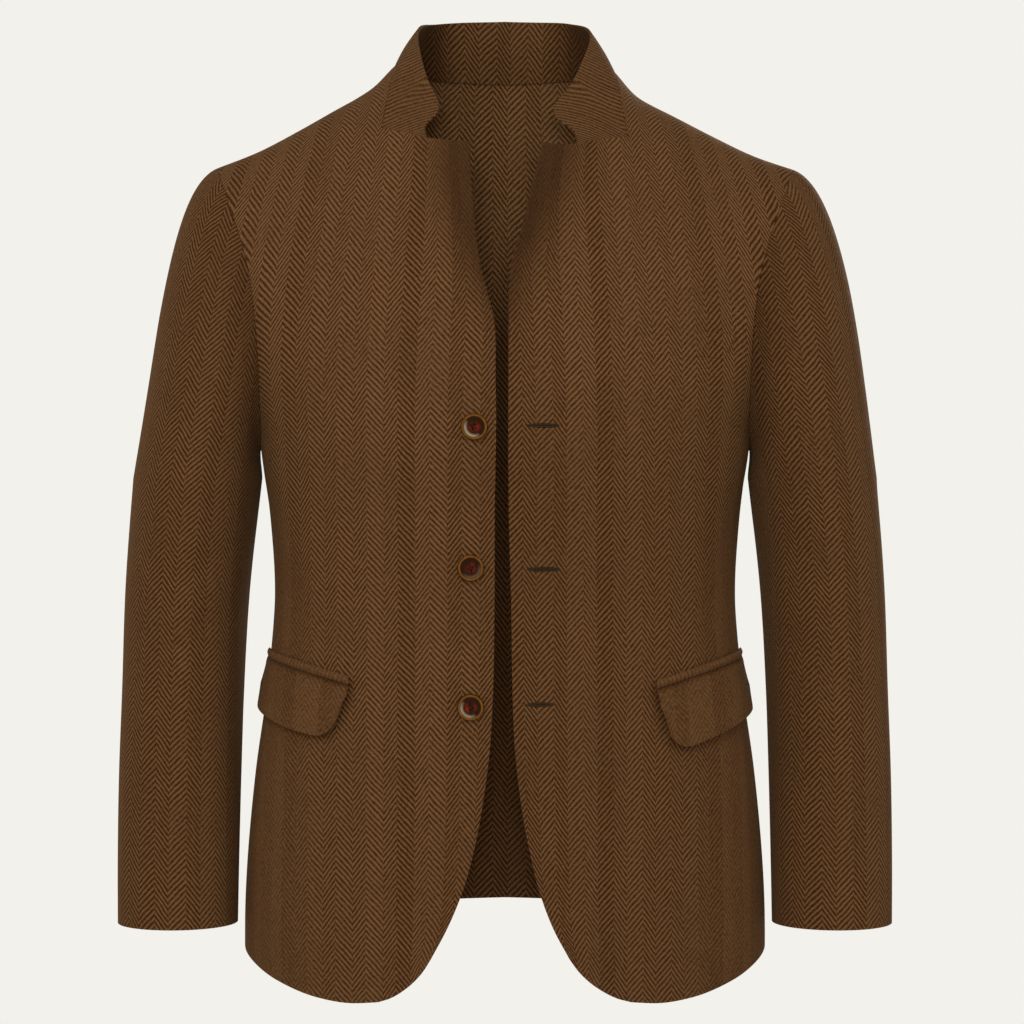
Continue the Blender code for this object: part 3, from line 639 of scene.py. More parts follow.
# %% The creases
CREASES = {
    "front_right": table(
        "start_x start_z end_x end_z width depth",
        (-0.197, -0.372, -0.176, -0.510, 0.017, 0.0026),
        (-0.205, -0.322, -0.150, -0.412, 0.011, 0.0013),
        (-0.150, -0.600, -0.132, -0.730, 0.022, 0.0012),
        (-0.186, -0.180, -0.176, -0.270, 0.016, 0.0013),
        (-0.090, -0.395, -0.060, -0.520, 0.026, 0.0010)),
    "front_left": table(
        "start_x start_z end_x end_z width depth",
        (0.113, -0.290, 0.193, -0.420, 0.028, 0.0030),
        (0.201, -0.362, 0.180, -0.505, 0.016, 0.0024),
        (0.197, -0.160, 0.192, -0.262, 0.014, 0.0020),
        (0.157, -0.612, 0.134, -0.748, 0.022, 0.0013),
        (0.070, -0.380, 0.055, -0.500, 0.024, 0.0009)),
    "sleeve_right": table(
        "start_x start_z end_x end_z width depth",
        (-0.233, -0.418, -0.290, -0.462, 0.012, 0.0018),
        (-0.236, -0.478, -0.304, -0.512, 0.010, 0.0013),
        (-0.243, -0.560, -0.292, -0.604, 0.014, 0.0011),
        (-0.258, -0.160, -0.250, -0.300, 0.015, 0.0016),
        (-0.300, -0.240, -0.310, -0.380, 0.018, 0.0011)),
    "sleeve_left": table(
        "start_x start_z end_x end_z width depth",
        (0.231, -0.405, 0.286, -0.452, 0.013, 0.0019),
        (0.238, -0.492, 0.300, -0.541, 0.011, 0.0013),
        (0.250, -0.612, 0.300, -0.652, 0.015, 0.0011),
        (0.256, -0.150, 0.247, -0.292, 0.014, 0.0018),
        (0.298, -0.260, 0.313, -0.400, 0.019, 0.0010)),
    "back": table(
        "start_x start_z end_x end_z width depth",
        (-0.196, -0.230, -0.172, -0.392, 0.019, 0.0028),
        (0.199, -0.215, 0.178, -0.405, 0.018, 0.0031),
        (-0.185, -0.420, -0.070, -0.478, 0.015, 0.0016),
        (0.182, -0.436, 0.055, -0.470, 0.016, 0.0018),
        (-0.170, -0.490, -0.090, -0.520, 0.013, 0.0012),
        (0.165, -0.505, 0.100, -0.540, 0.014, 0.0011),
        (-0.070, -0.560, -0.095, -0.700, 0.026, 0.0014),
        (0.088, -0.580, 0.072, -0.715, 0.024, 0.0012),
        (0.000, -0.030, 0.030, -0.075, 0.020, 0.0010)),
}
BACK_CREASES = {
    "sleeve_right": table(
        "start_x start_z end_x end_z width depth",
        (-0.240, -0.400, -0.300, -0.430, 0.012, 0.0017),
        (-0.236, -0.455, -0.288, -0.476, 0.011, 0.0014),
        (-0.252, -0.520, -0.312, -0.548, 0.014, 0.0012),
        (-0.262, -0.180, -0.250, -0.310, 0.017, 0.0018)),
    "sleeve_left": table(
        "start_x start_z end_x end_z width depth",
        (0.238, -0.412, 0.296, -0.446, 0.013, 0.0018),
        (0.240, -0.470, 0.305, -0.492, 0.010, 0.0013),
        (0.248, -0.545, 0.296, -0.580, 0.015, 0.0011),
        (0.264, -0.170, 0.248, -0.322, 0.016, 0.0016)),
}


def trough(points, creases):
    """How deep the creases are at each point, seen along Y."""
    depth = np.zeros(points.shape[:-1])
    for k in range(len(creases["depth"])):
        start = np.array((creases["start_x"][k], creases["start_z"][k]))
        line = np.array((creases["end_x"][k], creases["end_z"][k])) - start
        place = points[..., (0, 2)] - start
        along = (place @ line) / (line @ line)
        nearest = start + np.clip(along, 0, 1)[..., None] * line
        away = np.linalg.norm(points[..., (0, 2)] - nearest, axis=-1)
        fade = smooth_step(1.15 - np.abs(along - 0.5) * 1.6)
        depth += creases["depth"][k] * fade * np.exp(-(away / creases["width"][k]) ** 2)
    return depth


# %% [markdown]
# ## From a grid to a wall of cloth
#
# The outside of the cloth is the grid. The inside is the same grid moved in along the normals
# by the thickness, and a narrow rim joins the two. A small bevel then rounds the rim, because
# a turned edge of tweed is never sharp.


# %% The cloth maker
def settled(points):
    """The same points on this jacket, whose two sides don't quite match."""
    x, z = points[..., 0], points[..., 2]
    high = smooth_step((z - SETTLE_START_Z) / (SETTLE_FULL_Z - SETTLE_START_Z))
    out = np.clip((x - CAP_INNER_X) / (CAP_OUTER_X - CAP_INNER_X), 0, 1)
    moved = points.copy()
    moved[..., 0] += read(LEFT_CAP, "outward", z) * out
    moved[..., 2] += read(SETTLE, "raised", x) * high
    return moved


def grid_normals(grid, closed, outward):
    along = np.gradient(grid, axis=0, edge_order=2)
    if closed:
        across = np.roll(grid, -1, axis=1) - np.roll(grid, 1, axis=1)
    else:
        across = np.gradient(grid, axis=1, edge_order=2)
    normal = np.cross(across, along) * outward
    return normal / np.linalg.norm(normal, axis=-1)[..., None]


def creased(name, grid, closed, outward):
    """The grid with its creases pressed in, and its normals."""
    normal = grid_normals(grid, closed, outward)
    if name not in CREASES:
        return grid, normal
    depth = trough(grid, CREASES[name])
    if name in BACK_CREASES:
        middle = read(SLEEVE, "centre_y", grid[..., 2])
        behind = smooth_step(0.5 + (grid[..., 1] - middle) / 0.04)
        depth = depth * (1 - behind) + trough(grid, BACK_CREASES[name]) * behind
    grid = grid - normal * depth[..., None]
    return grid, grid_normals(grid, closed, outward)


def sheet_faces(rows, columns, outward, closed, keep):
    """The grid's faces as point numbers, and the row and column of each of their corners."""
    faces, corners = [], []
    for i in range(rows - 1):
        for j in range(columns if closed else columns - 1):
            if keep is None or keep(i, j):
                k = (j + 1) % columns
                face = (i * columns + j, i * columns + k,
                        (i + 1) * columns + k, (i + 1) * columns + j)
                corner = ((i, j), (i, j + 1), (i + 1, j + 1), (i + 1, j))
                faces.append(face[::outward])
                corners.append(corner[::outward])
    return faces, np.array(corners)


def rim_faces(faces, sheet, inside):
    """Faces that join the outside to the inside round every open edge, and their places."""
    place_of = {}
    for face, uv in zip(faces, sheet):
        for n in range(4):
            place_of[face[n], face[(n + 1) % 4]] = (uv[n], uv[(n + 1) % 4])
    rim, rim_places = [], []
    for (a, b), (start, end) in place_of.items():
        if (b, a) not in place_of:
            rim.append((b, a, a + inside, b + inside))
            rim_places.append((end, start, start, end))
    return rim, np.array(rim_places)


def paint(mesh, title, outside, inside):
    """Stores one number at each point: first those of the outside, then of the inside."""
    layer = mesh.attributes.new(title, "FLOAT", "POINT")
    values = np.concatenate((outside.ravel(), inside.ravel()))
    layer.data.foreach_set("value", values.astype(np.float32))


def only(thing):
    """Selects this object alone, for the operators that follow."""
    bpy.ops.object.select_all(action="DESELECT")
    thing.select_set(True)
    bpy.context.view_layer.objects.active = thing


def in_scene(name, mesh):
    """A new object that shows a mesh, whose place is already in its points."""
    piece = bpy.data.objects.new(name, mesh)
    bpy.context.scene.collection.objects.link(piece)
    return piece


def round_edges(piece, width, segments, angle):
    """Bevels every edge sharper than an angle in degrees."""
    only(piece)
    rounding = piece.modifiers.new("rounded edge", "BEVEL")
    rounding.width = width
    rounding.segments = segments
    rounding.limit_method = "ANGLE"
    rounding.angle_limit = math.radians(angle)
    bpy.ops.object.modifier_apply(modifier=rounding.name)


def make_cloth(name, grid, places, inner_places, outward, closed=False, keep=None,
               thickness=CLOTH, rounding=0.0008, bold=1.0, tone=1.0, inner_tone=None):
    """A wall of cloth with its UV map. places has one more column on a closed grid."""
    grid, normal = creased(name, grid, closed, outward)
    rows, columns = grid.shape[:2]
    inside = rows * columns
    points = np.concatenate((grid.reshape(-1, 3), (grid - normal * thickness).reshape(-1, 3)))
    faces, corners = sheet_faces(rows, columns, outward, closed, keep)
    sheet = places[corners[..., 0], corners[..., 1]]
    hidden = inner_places[corners[..., 0], corners[..., 1]]
    inner_faces = [tuple(n + inside for n in face[::-1]) for face in faces]
    rim, rim_places = rim_faces(faces, sheet, inside)
    mesh = bpy.data.meshes.new(name)
    mesh.from_pydata(points.tolist(), [], faces + inner_faces + rim)
    weave = mesh.uv_layers.new(name="weave")
    all_places = np.concatenate((sheet.reshape(-1, 2), hidden[:, ::-1].reshape(-1, 2),
                                 rim_places.reshape(-1, 2)))
    weave.data.foreach_set("uv", all_places.astype(np.float32).ravel())
    facing = smooth_step((np.abs(normal[..., 1]) - 0.18) / 0.55)
    bold = (0.30 + 0.70 * facing) * bold
    # tone is painted light and shade: below 1 it darkens the cloth's colour as shade would, above
    # 1 it lightens it as light would; one value for the outside, one for the inside
    tone = np.broadcast_to(tone, (rows, columns))
    inner_tone = tone if inner_tone is None else np.broadcast_to(inner_tone, (rows, columns))
    paint(mesh, "bold", bold, bold)
    paint(mesh, "tone", tone, inner_tone)
    trim = bmesh.new()
    trim.from_mesh(mesh)
    bmesh.ops.delete(trim, geom=[v for v in trim.verts if not v.link_faces], context="VERTS")
    trim.to_mesh(mesh)
    trim.free()
    mesh.shade_smooth()
    piece = in_scene("tweed_" + name, mesh)
    round_edges(piece, rounding, 3, 50)
    print(name, "has", len(piece.data.polygons), "faces")
    return piece


# %% [markdown]
# ## The cloth's material
#
# Herringbone is a twill whose slant turns round every dozen millimetres. Along the slant a
# light and a dark yarn take turns. In nodes that is one ramp: the height on the cloth, minus a
# zigzag of the distance across, divided by the spacing of the lines. A triangle wave of the
# ramp then goes from dark to light and back once for each line. Tweed is spun from dyed wool,
# so each yarn is mottled, single stripes are a little lighter or darker, the weave is worn
# faint in places, and fine hairs blur the lines. The same values drive the bump.

# %% Herringbone tweed
STRIPE = 0.0137                          # width of one stripe of the herringbone
TWILL = 0.00520                          # distance from one line to the next, up the cloth
SLANT = 1.16                             # rise of a line over its run
UNEQUAL = 0.0008                         # every second stripe is wider
STRIPE_STEP = 0.30                       # and its lines start this share of a line later
STRIPE_TONE = 0.16                       # how much single stripes differ in lightness
DRIFT, SWAY = 0.0020, 0.0030             # how far stripes and lines stray from straight
HAIR = 0.34                              # how far a hair moves a line, as a share of a line
LINE_GAIN, LINE_START = 2.5, -0.13       # how fast light turns to dark across a line
FAINT = 0.48                             # the even tone that a faint weave fades to
WORN_GAIN, WORN_START = 1.1, 0.40        # how the weave's clearness varies over the cloth
YARNS = {"dark": (0.0150, 0.0047, 0.0004), "dark_red": (0.0215, 0.0068, 0.0010),
         "light": (0.0740, 0.0364, 0.0148), "light_warm": (0.0920, 0.0446, 0.0182)}
SHADE_POWERS = (1.0, 1.15, 1.3)          # painted shade is made redder as well as darker


def node(tree, kind, at, **settings):
    made = tree.nodes.new(kind)
    made.location = at
    for name, value in settings.items():
        setattr(made, name, value)
    return made


def sum_of(tree, operation, first, second=None, third=None, at=(0, 0), clamp=False):
    """A Math node. Each input is another node's output or a number."""
    made = node(tree, "ShaderNodeMath", at, operation=operation, use_clamp=clamp)
    for socket, value in zip(made.inputs, (first, second, third)):
        if value is None:
            continue
        if isinstance(value, (int, float)):
            socket.default_value = value
        else:
            tree.links.new(value, socket)
    return made.outputs[0]


def noise(tree, vector, scale, detail, at=(0, 0), roughness=0.55):
    made = node(tree, "ShaderNodeTexNoise", at)
    made.inputs["Scale"].default_value = scale
    made.inputs["Detail"].default_value = detail
    made.inputs["Roughness"].default_value = roughness
    tree.links.new(vector, made.inputs["Vector"])
    return made.outputs["Fac"]


def blend_colours(tree, share, first, second, at=(0, 0), way="MIX"):
    made = node(tree, "ShaderNodeMix", at, data_type="RGBA", blend_type=way)
    for socket, value in ((made.inputs["Factor"], share), (made.inputs[6], first),
                          (made.inputs[7], second)):
        if isinstance(value, tuple):
            socket.default_value = value + (1.0,)
        elif isinstance(value, (int, float)):
            socket.default_value = value
        else:
            tree.links.new(value, socket)
    return made.outputs[2]


def painted(tree, title, at):
    return node(tree, "ShaderNodeAttribute", at, attribute_name=title).outputs["Fac"]


def make_tweed():
    material = bpy.data.materials.new("herringbone_tweed")
    material.use_nodes = True
    tree = material.node_tree
    shader = tree.nodes["Principled BSDF"]
    weave = node(tree, "ShaderNodeUVMap", (-1800, 0), uv_map="weave").outputs[0]
    body = node(tree, "ShaderNodeTexCoord", (-1800, -400)).outputs["Object"]
    bold, tone = painted(tree, "bold", (-1800, -700)), painted(tree, "tone", (-1800, -900))
    drift = noise(tree, weave, 55.0, 2.0, (-1600, 200))
    sway = noise(tree, body, 48.0, 2.0, (-1600, 400))
    parts = node(tree, "ShaderNodeSeparateXYZ", (-1600, 0))
    tree.links.new(weave, parts.inputs[0])
    across = sum_of(tree, "MULTIPLY_ADD", drift, DRIFT, parts.outputs[0], (-1400, 0))
    turn = sum_of(tree, "COSINE", sum_of(tree, "MULTIPLY", across, math.pi / STRIPE))
    across = sum_of(tree, "MULTIPLY_ADD", turn, UNEQUAL, across)
    zigzag = sum_of(tree, "PINGPONG", across, STRIPE, at=(-1200, 0))
    stripe = sum_of(tree, "FLOOR", sum_of(tree, "DIVIDE", across, STRIPE))
    step = sum_of(tree, "MULTIPLY", sum_of(tree, "PINGPONG", stripe, 1.0), STRIPE_STEP)
    up = sum_of(tree, "MULTIPLY_ADD", sway, SWAY, parts.outputs[1])
    height = sum_of(tree, "MULTIPLY_ADD", zigzag, -SLANT, up, (-1000, 0))
    line = sum_of(tree, "ADD", sum_of(tree, "DIVIDE", height, TWILL), step)
    hair = noise(tree, body, 1300.0, 3.0, (-1600, -300))
    line = sum_of(tree, "MULTIPLY_ADD", hair, HAIR, line)
    wave = sum_of(tree, "PINGPONG", line, 0.5, at=(-600, 0))
    yarn = sum_of(tree, "MULTIPLY_ADD", wave, LINE_GAIN, LINE_START)
    mottle = noise(tree, body, 460.0, 3.0, (-1600, -600))
    patch = noise(tree, body, 21.0, 3.0, (-1600, -900))
    worn = sum_of(tree, "MULTIPLY_ADD", patch, WORN_GAIN, WORN_START, clamp=True)
    above = sum_of(tree, "SUBTRACT", yarn, FAINT)
    yarn = sum_of(tree, "MULTIPLY_ADD", above, sum_of(tree, "MULTIPLY", bold, worn), FAINT)
    own = node(tree, "ShaderNodeTexWhiteNoise", (-1000, 400), noise_dimensions="1D")
    tree.links.new(stripe, own.inputs["W"])
    bias = sum_of(tree, "SUBTRACT", own.outputs["Value"], 0.5)
    yarn = sum_of(tree, "MULTIPLY_ADD", bias, STRIPE_TONE, yarn)
    speck = sum_of(tree, "SUBTRACT", mottle, 0.5)
    yarn = sum_of(tree, "MULTIPLY_ADD", speck, 1.0, yarn, clamp=True)
    light = blend_colours(tree, patch, YARNS["light"], YARNS["light_warm"])
    dark = blend_colours(tree, mottle, YARNS["dark"], YARNS["dark_red"])
    cloth = blend_colours(tree, yarn, dark, light)
    # painted light and shade: the colour is multiplied by the tone stored on the cloth's points
    shade = node(tree, "ShaderNodeCombineColor", (-300, 200))
    for socket, power in zip(shade.inputs, SHADE_POWERS):
        tree.links.new(sum_of(tree, "POWER", tone, power), socket)
    cloth = blend_colours(tree, 1.0, cloth, shade.outputs[0], way="MULTIPLY")
    tree.links.new(cloth, shader.inputs["Base Color"])
    relief = sum_of(tree, "MULTIPLY_ADD", hair, 0.6, yarn)
    bump = node(tree, "ShaderNodeBump", (-200, -300))
    bump.inputs["Strength"].default_value = 0.5
    bump.inputs["Distance"].default_value = 0.0006
    tree.links.new(relief, bump.inputs["Height"])
    tree.links.new(bump.outputs[0], shader.inputs["Normal"])
    shader.inputs["Roughness"].default_value = 0.95
    shader.inputs["Specular IOR Level"].default_value = 0.03
    shader.inputs["Sheen Weight"].default_value = 0.045
    shader.inputs["Sheen Roughness"].default_value = 0.5
    shader.inputs["Sheen Tint"].default_value = (0.70, 0.40, 0.18, 1.0)
    return material


tweed = make_tweed()

# %% [markdown]
# ## Cutting the pieces
#
# Each piece is now cut, woven and declared. It rides on the jacket's one body, and stands for
# its plain solid.


def declare(piece, node_name):
    """Finishes a sheet of cloth: material, body, and the solid it stands for."""
    piece.data.materials.clear()
    piece.data.materials.append(tweed)
    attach(piece, "root")
    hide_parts(node_name)


# %% [markdown]
# Where cloth dips along the armhole or lies under the edge of a flap, it lies in shade. That
# shade is painted into its colour, worked out from the distance to the edge that casts it.


# %% Shades beside edges
LAPEL_SHADE = 0.42                       # how much darker the cloth is on the lapel's roll
FLAP_SHADE, FLAP_SHADE_WIDTH = 0.60, 0.0065      # round a flap
JET_SHADE, JET_SHADE_WIDTH = 0.30, 0.0022        # above the piping
FRONT_LOW_SHADE = {RIGHT: 0.05, LEFT: 0.10}      # painted shade below the waist


def beside(points, edge, width):
    """1 on an edge, fading to 0 at a few times the width away from it."""
    away = np.full(points.shape[:2], 1.0)
    for spot in edge:
        away = np.minimum(away, np.linalg.norm(points - spot, axis=-1))
    return np.exp(-(away / width) ** 2)


def armhole_shade(points, edge, deep, width, top=-0.13):
    """1 away from the armhole, less beside its front, fading out towards the shoulder."""
    ring = edge[(edge[:, 2] > UNDERARM_Z - 0.004) & (edge[:, 1] < 0.03)]
    below = smooth_step((top - points[..., 2]) / 0.16)
    return 1 - deep * below * beside(points, ring, width)


def flap_grid(side):
    """A flap's outside. Its upper edge lies close, its lower edge stands off."""
    part = np.linspace(0, 1, FLAP_ROWS + 1)
    off = (POCKET_GAP + CLOTH * (0.55 + 0.45 * smooth_step(part / 0.14))
           + FLAP_STAND * part ** 1.5)
    return strip_grid(side, FLAP_START[side], FLAP_WIDTH[side], FLAP_Z[side], FLAP_RISE[side],
                      part * FLAP_DROP[side], off, FLAP_SLANT, FLAP_CORNER, FLAP_COLUMNS,
                      FLAP_BELLY[side], FLAP_LESS[side])


# %% How clear the weave of a front is, and its painted shade
FADE_WIDTH = table(                      # how far from the side seam the weave is faint
    "height width",
    (-0.80, 0.085),
    (-0.62, 0.055),
    (-0.45, 0.040),
    (-0.36, 0.004))


def front_bold(side, grid):
    """How clear the weave is: it fades beside the side seam and on the lapel's roll."""
    x, z = np.abs(grid[..., 0]), grid[..., 2]
    width = np.interp(z, FADE_WIDTH["height"], FADE_WIDTH["width"])
    from_side = np.interp(z, TORSO["height"], TORSO["half_width"]) - x
    clear = smooth_step((from_side - 0.35 * width) / (0.9 * width))
    clear = np.maximum(clear, smooth_step((z + 0.42) / 0.08))
    roll = lapel_roll(side, x, z) / LAPEL_ROLL
    return (0.30 + 0.70 * clear) * (1 - 0.72 * smooth_step(roll * 1.7))


def front_painted_shade(side, grid):
    """Painted shade on a front: darker on the roll, beside the armhole, low down, round the flap
    and above the piping.
    """
    x, z = np.abs(grid[..., 0]), grid[..., 2]
    roll = lapel_roll(side, x, z) / LAPEL_ROLL
    flap = flap_grid(side)
    rim = np.concatenate((flap[3:, 0], flap[-1]))
    above = flap[0] + np.array((0.0, 0.0, JET_HEIGHT))
    tone = 1 - LAPEL_SHADE * smooth_step(roll * 1.5)
    tone = tone * armhole_shade(grid, grid[:, -1], 0.16, 0.010)
    tone = tone * (1 - FRONT_LOW_SHADE[side] * smooth_step((-0.22 - z) / 0.20))
    tone = tone * (1 - FLAP_SHADE * beside(grid, rim, FLAP_SHADE_WIDTH))
    return tone * (1 - JET_SHADE * beside(grid, above, JET_SHADE_WIDTH))


# %% Fronts
FRONT_SHIFT = {RIGHT: -0.0224, LEFT: -0.03025}   # where the stripes start on each front
FRONT_SCALE = {RIGHT: 1.0, LEFT: 1.07}           # the left front's stripes are narrower
front_outsides = {}
for side, name in SIDES.items():
    grid = settled(front_grid(side))
    levels = front_levels(float(read(CUTAWAY, "height", 1.0)), GORGE_LEVEL)
    straight = body_point(angle_of(gorge_column_x(levels), levels), levels)
    middle = body_point(0 * levels, levels)
    at_gorge = np.linalg.norm(straight - middle, axis=1)
    flat = grain(grid, LAPEL_COLUMNS, ROWS_BELOW, at_gorge)
    places = flat.copy()
    places[..., 0] = places[..., 0] * FRONT_SCALE[side] + FRONT_SHIFT[side]
    piece = make_cloth("front_" + name, grid, places, places, side, keep=in_front,
                       bold=front_bold(side, grid), tone=front_painted_shade(side, grid))
    declare(piece, "front_" + name)
    front_outsides[side] = (grid, places)

# %% [markdown]
# The back's threads run down from its middle. Its inside shows through the neck and between
# the fronts, where the pattern looks larger in the picture, so the inner places are scaled.

# %% Back
BACK_INSIDE = 0.87                       # scale of the places on its inside
BACK_INSIDE_PAINTED_LIGHT = table(                 # painted light and shade on its inside, by height
    "height tone",
    (-0.75, 0.84),
    (-0.55, 0.86),
    (-0.35, 1.18),
    (-0.20, 1.32),
    (-0.12, 1.38))
grid = settled(back_grid())
centre = grid.shape[1] // 2
places = grain(grid, centre, ROWS_BELOW, 0.0)
# painted light and shade on the back's inside: lighter high up, darker low down and towards its
# upper sides
back_inside_painted_light = np.interp(grid[..., 2], BACK_INSIDE_PAINTED_LIGHT["height"], BACK_INSIDE_PAINTED_LIGHT["tone"])
back_inside_painted_light = back_inside_painted_light * (1 - 0.25 * smooth_step((np.abs(grid[..., 0]) - 0.04) / 0.05)
             * smooth_step((grid[..., 2] + 0.20) / 0.08))
piece = make_cloth("back", grid, places, places * BACK_INSIDE - np.array((0.004, 0.0)), -1,
                   inner_tone=back_inside_painted_light)
declare(piece, "back")

# %% [markdown]
# A sleeve is a tube, so its pattern has to break somewhere. It breaks under the arm, where the
# seam is, and the straight grain lies down the middle of its front.

# %% Sleeves
# painted shade: the sleeves are a little darker overall, and darker again beside the front of the
# armhole
SLEEVE_PAINTED_SHADE = 0.93
tube = sleeve_grid()
under = ROWS_ABOVE + ROWS_NECK           # the column that lies under the arm
order = np.concatenate((np.arange(under, tube.shape[1]), np.arange(0, under + 1)))
for side, name in SIDES.items():
    opened = settled(tube * MIRROR[side])[:, order]
    plain = tube[:, order]
    across = sleeve_across(plain, plain[:, list(order).index(0)])
    places = grain(opened, 0, SLEEVE_CAP_ROWS, 0.0, across=across) * np.array((side, -1.0))
    piece = make_cloth("sleeve_" + name, opened[:, :-1], places, places, side, closed=True,
                       tone=SLEEVE_PAINTED_SHADE * armhole_shade(opened[:, :-1], opened[0],
                                                        0.36, 0.021, -0.09))
    declare(piece, "sleeve_" + name)

# %% [markdown]
# The collar is a strip cut straight. Behind the neck it shows the whole herringbone. Round the
# sides it turns down, and there only one slant shows, whose lines lie nearly across it.

# %% Collar
COLLAR_INSIDE, COLLAR_INSIDE_SHIFT = 0.90, 0.0068 + STRIPE
grid = settled(collar_grid())
centre = grid.shape[1] // 2
places = grain(grid, centre, 0, 0.0)
outside = places.copy()
away = np.abs(places[..., 0])
turned = 3 * STRIPE                      # from here on, a single slant
side_share = smooth_step((away - 0.035) / 0.07)
outside[..., 0] = np.minimum(away, turned)
outside[..., 1] = (places[..., 1] * (1 - 0.7 * side_share)
                   + SLANT * np.maximum(away - turned, 0))
inside_places = places * COLLAR_INSIDE + np.array((COLLAR_INSIDE_SHIFT, 0.0))
# painted shade: the whole collar is a little darker, and its inside darkens towards the collar's
# front ends
collar = make_cloth("collar", grid, outside, inside_places, -1, thickness=FOLDED_CLOTH,
                    bold=1.0 - 0.15 * side_share, tone=0.88,
                    inner_tone=1.02 - 0.62 * smooth_step((np.abs(grid[..., 0]) - 0.036) / 0.034))
declare(collar, "collar")

# %% [markdown]
# A flap hangs from a piped welt. The flap's lower edge stands off a little, and its shadow on
# the front, cast by the lamps and deepened by painted shade round the flap, is what makes the
# pocket read from a distance.

# %% Pocket flaps and jets
POCKET_BOLD = 0.30                       # the weave is faint on flaps and jets
JET_FLAT_END = 0.38                      # how much flatter a jet gets at its outer end
around = np.linspace(1, 0, 13)
jet_drops = -2 * SEAM - JET_HEIGHT * around
jet_offs = POCKET_GAP + JET_THICK + JET_BULGE * (1 - 2 * np.abs(around - 0.5) ** 1.6 * 2.6)
jet_share = np.linspace(0, 1, FLAP_COLUMNS + 1)
jet_offs = jet_offs[:, None] * (1 - JET_FLAT_END * smooth_step((jet_share - 0.72) / 0.22))
for side, name in SIDES.items():
    grid = flap_grid(side)
    places = grain(grid, 0, 0, 0.0) * np.array((1.0, -1.0))
    # painted shadow on the flap just under the jet, on a flap painted a little darker overall
    shadow_under_jet = np.exp(-(np.linspace(0, FLAP_DROP[side], FLAP_ROWS + 1) / 0.0032) ** 2)
    piece = make_cloth("pocket_flap_" + name, grid, places, places, -side, rounding=0.0009,
                       bold=POCKET_BOLD, tone=0.95 - 0.55 * shadow_under_jet[:, None])
    declare(piece, "pocket_flap_" + name)
    width = FLAP_WIDTH[side] - JET_SHORTER
    grid = strip_grid(side, FLAP_START[side], width, FLAP_Z[side],
                      FLAP_RISE[side] * width / FLAP_WIDTH[side], jet_drops, jet_offs,
                      columns=FLAP_COLUMNS)
    flat = grain(grid, 0, 0, 0.0)
    places = np.stack((STRIPE / 2 + flat[..., 1] * 0.3, flat[..., 0] * 1.3), axis=-1)
    piece = make_cloth("pocket_jet_" + name, grid, places, places, -side,
                       thickness=FOLDED_CLOTH, bold=POCKET_BOLD)
    declare(piece, "pocket_jet_" + name)

# %% [markdown]
# The chest pocket's welt is cut so that its pattern runs on from the front, and only its mouth
# shows. Its places on the cloth are therefore read from the front, by fitting a small flat
# patch through the nearest points of the front.


# %% Chest pocket
NEAREST = 9                              # how many points of the front each patch is fitted to


def matched_places(grid, side):
    """Places on the front's cloth below each point of a grid."""
    outside_points, outside_places = front_outsides[side]
    points, flats = outside_points.reshape(-1, 3), outside_places.reshape(-1, 2)
    tree = KDTree(len(points))
    for number, point in enumerate(points):
        tree.insert(point, number)
    tree.balance()
    found = []
    for point in grid.reshape(-1, 3):
        near = [number for _, number, _ in tree.find_n(point, NEAREST)]
        known = np.column_stack((points[near][:, (0, 2)], np.ones(NEAREST)))
        fit = np.linalg.lstsq(known, flats[near], rcond=None)[0]
        found.append(np.array((point[0], point[2], 1.0)) @ fit)
    return np.array(found).reshape(grid.shape[:2] + (2,))


share = np.linspace(0, 1, 15)
welt_off = 0.0004 + 0.0021 * (1 - smooth_step(share / 0.9))
grid = strip_grid(LEFT, WELT_START, WELT_WIDTH, WELT_Z, WELT_RISE, WELT_HEIGHT * share,
                  welt_off, columns=48)
places = matched_places(grid, LEFT)
piece = make_cloth("chest_welt", grid, places, places, -1, thickness=WELT_CLOTH,
                   rounding=0.0004)
declare(piece, "chest_welt")

# %% [markdown]
# ## Horn buttons
#
# A horn button is turned on a lathe: a rounded rim round a shallow dish, with four holes. One
# is modelled lying flat at the origin, from a cylinder that is inset, sunk and bevelled. The
# holes are cut with a Boolean. It is then copied to its three places on the front.

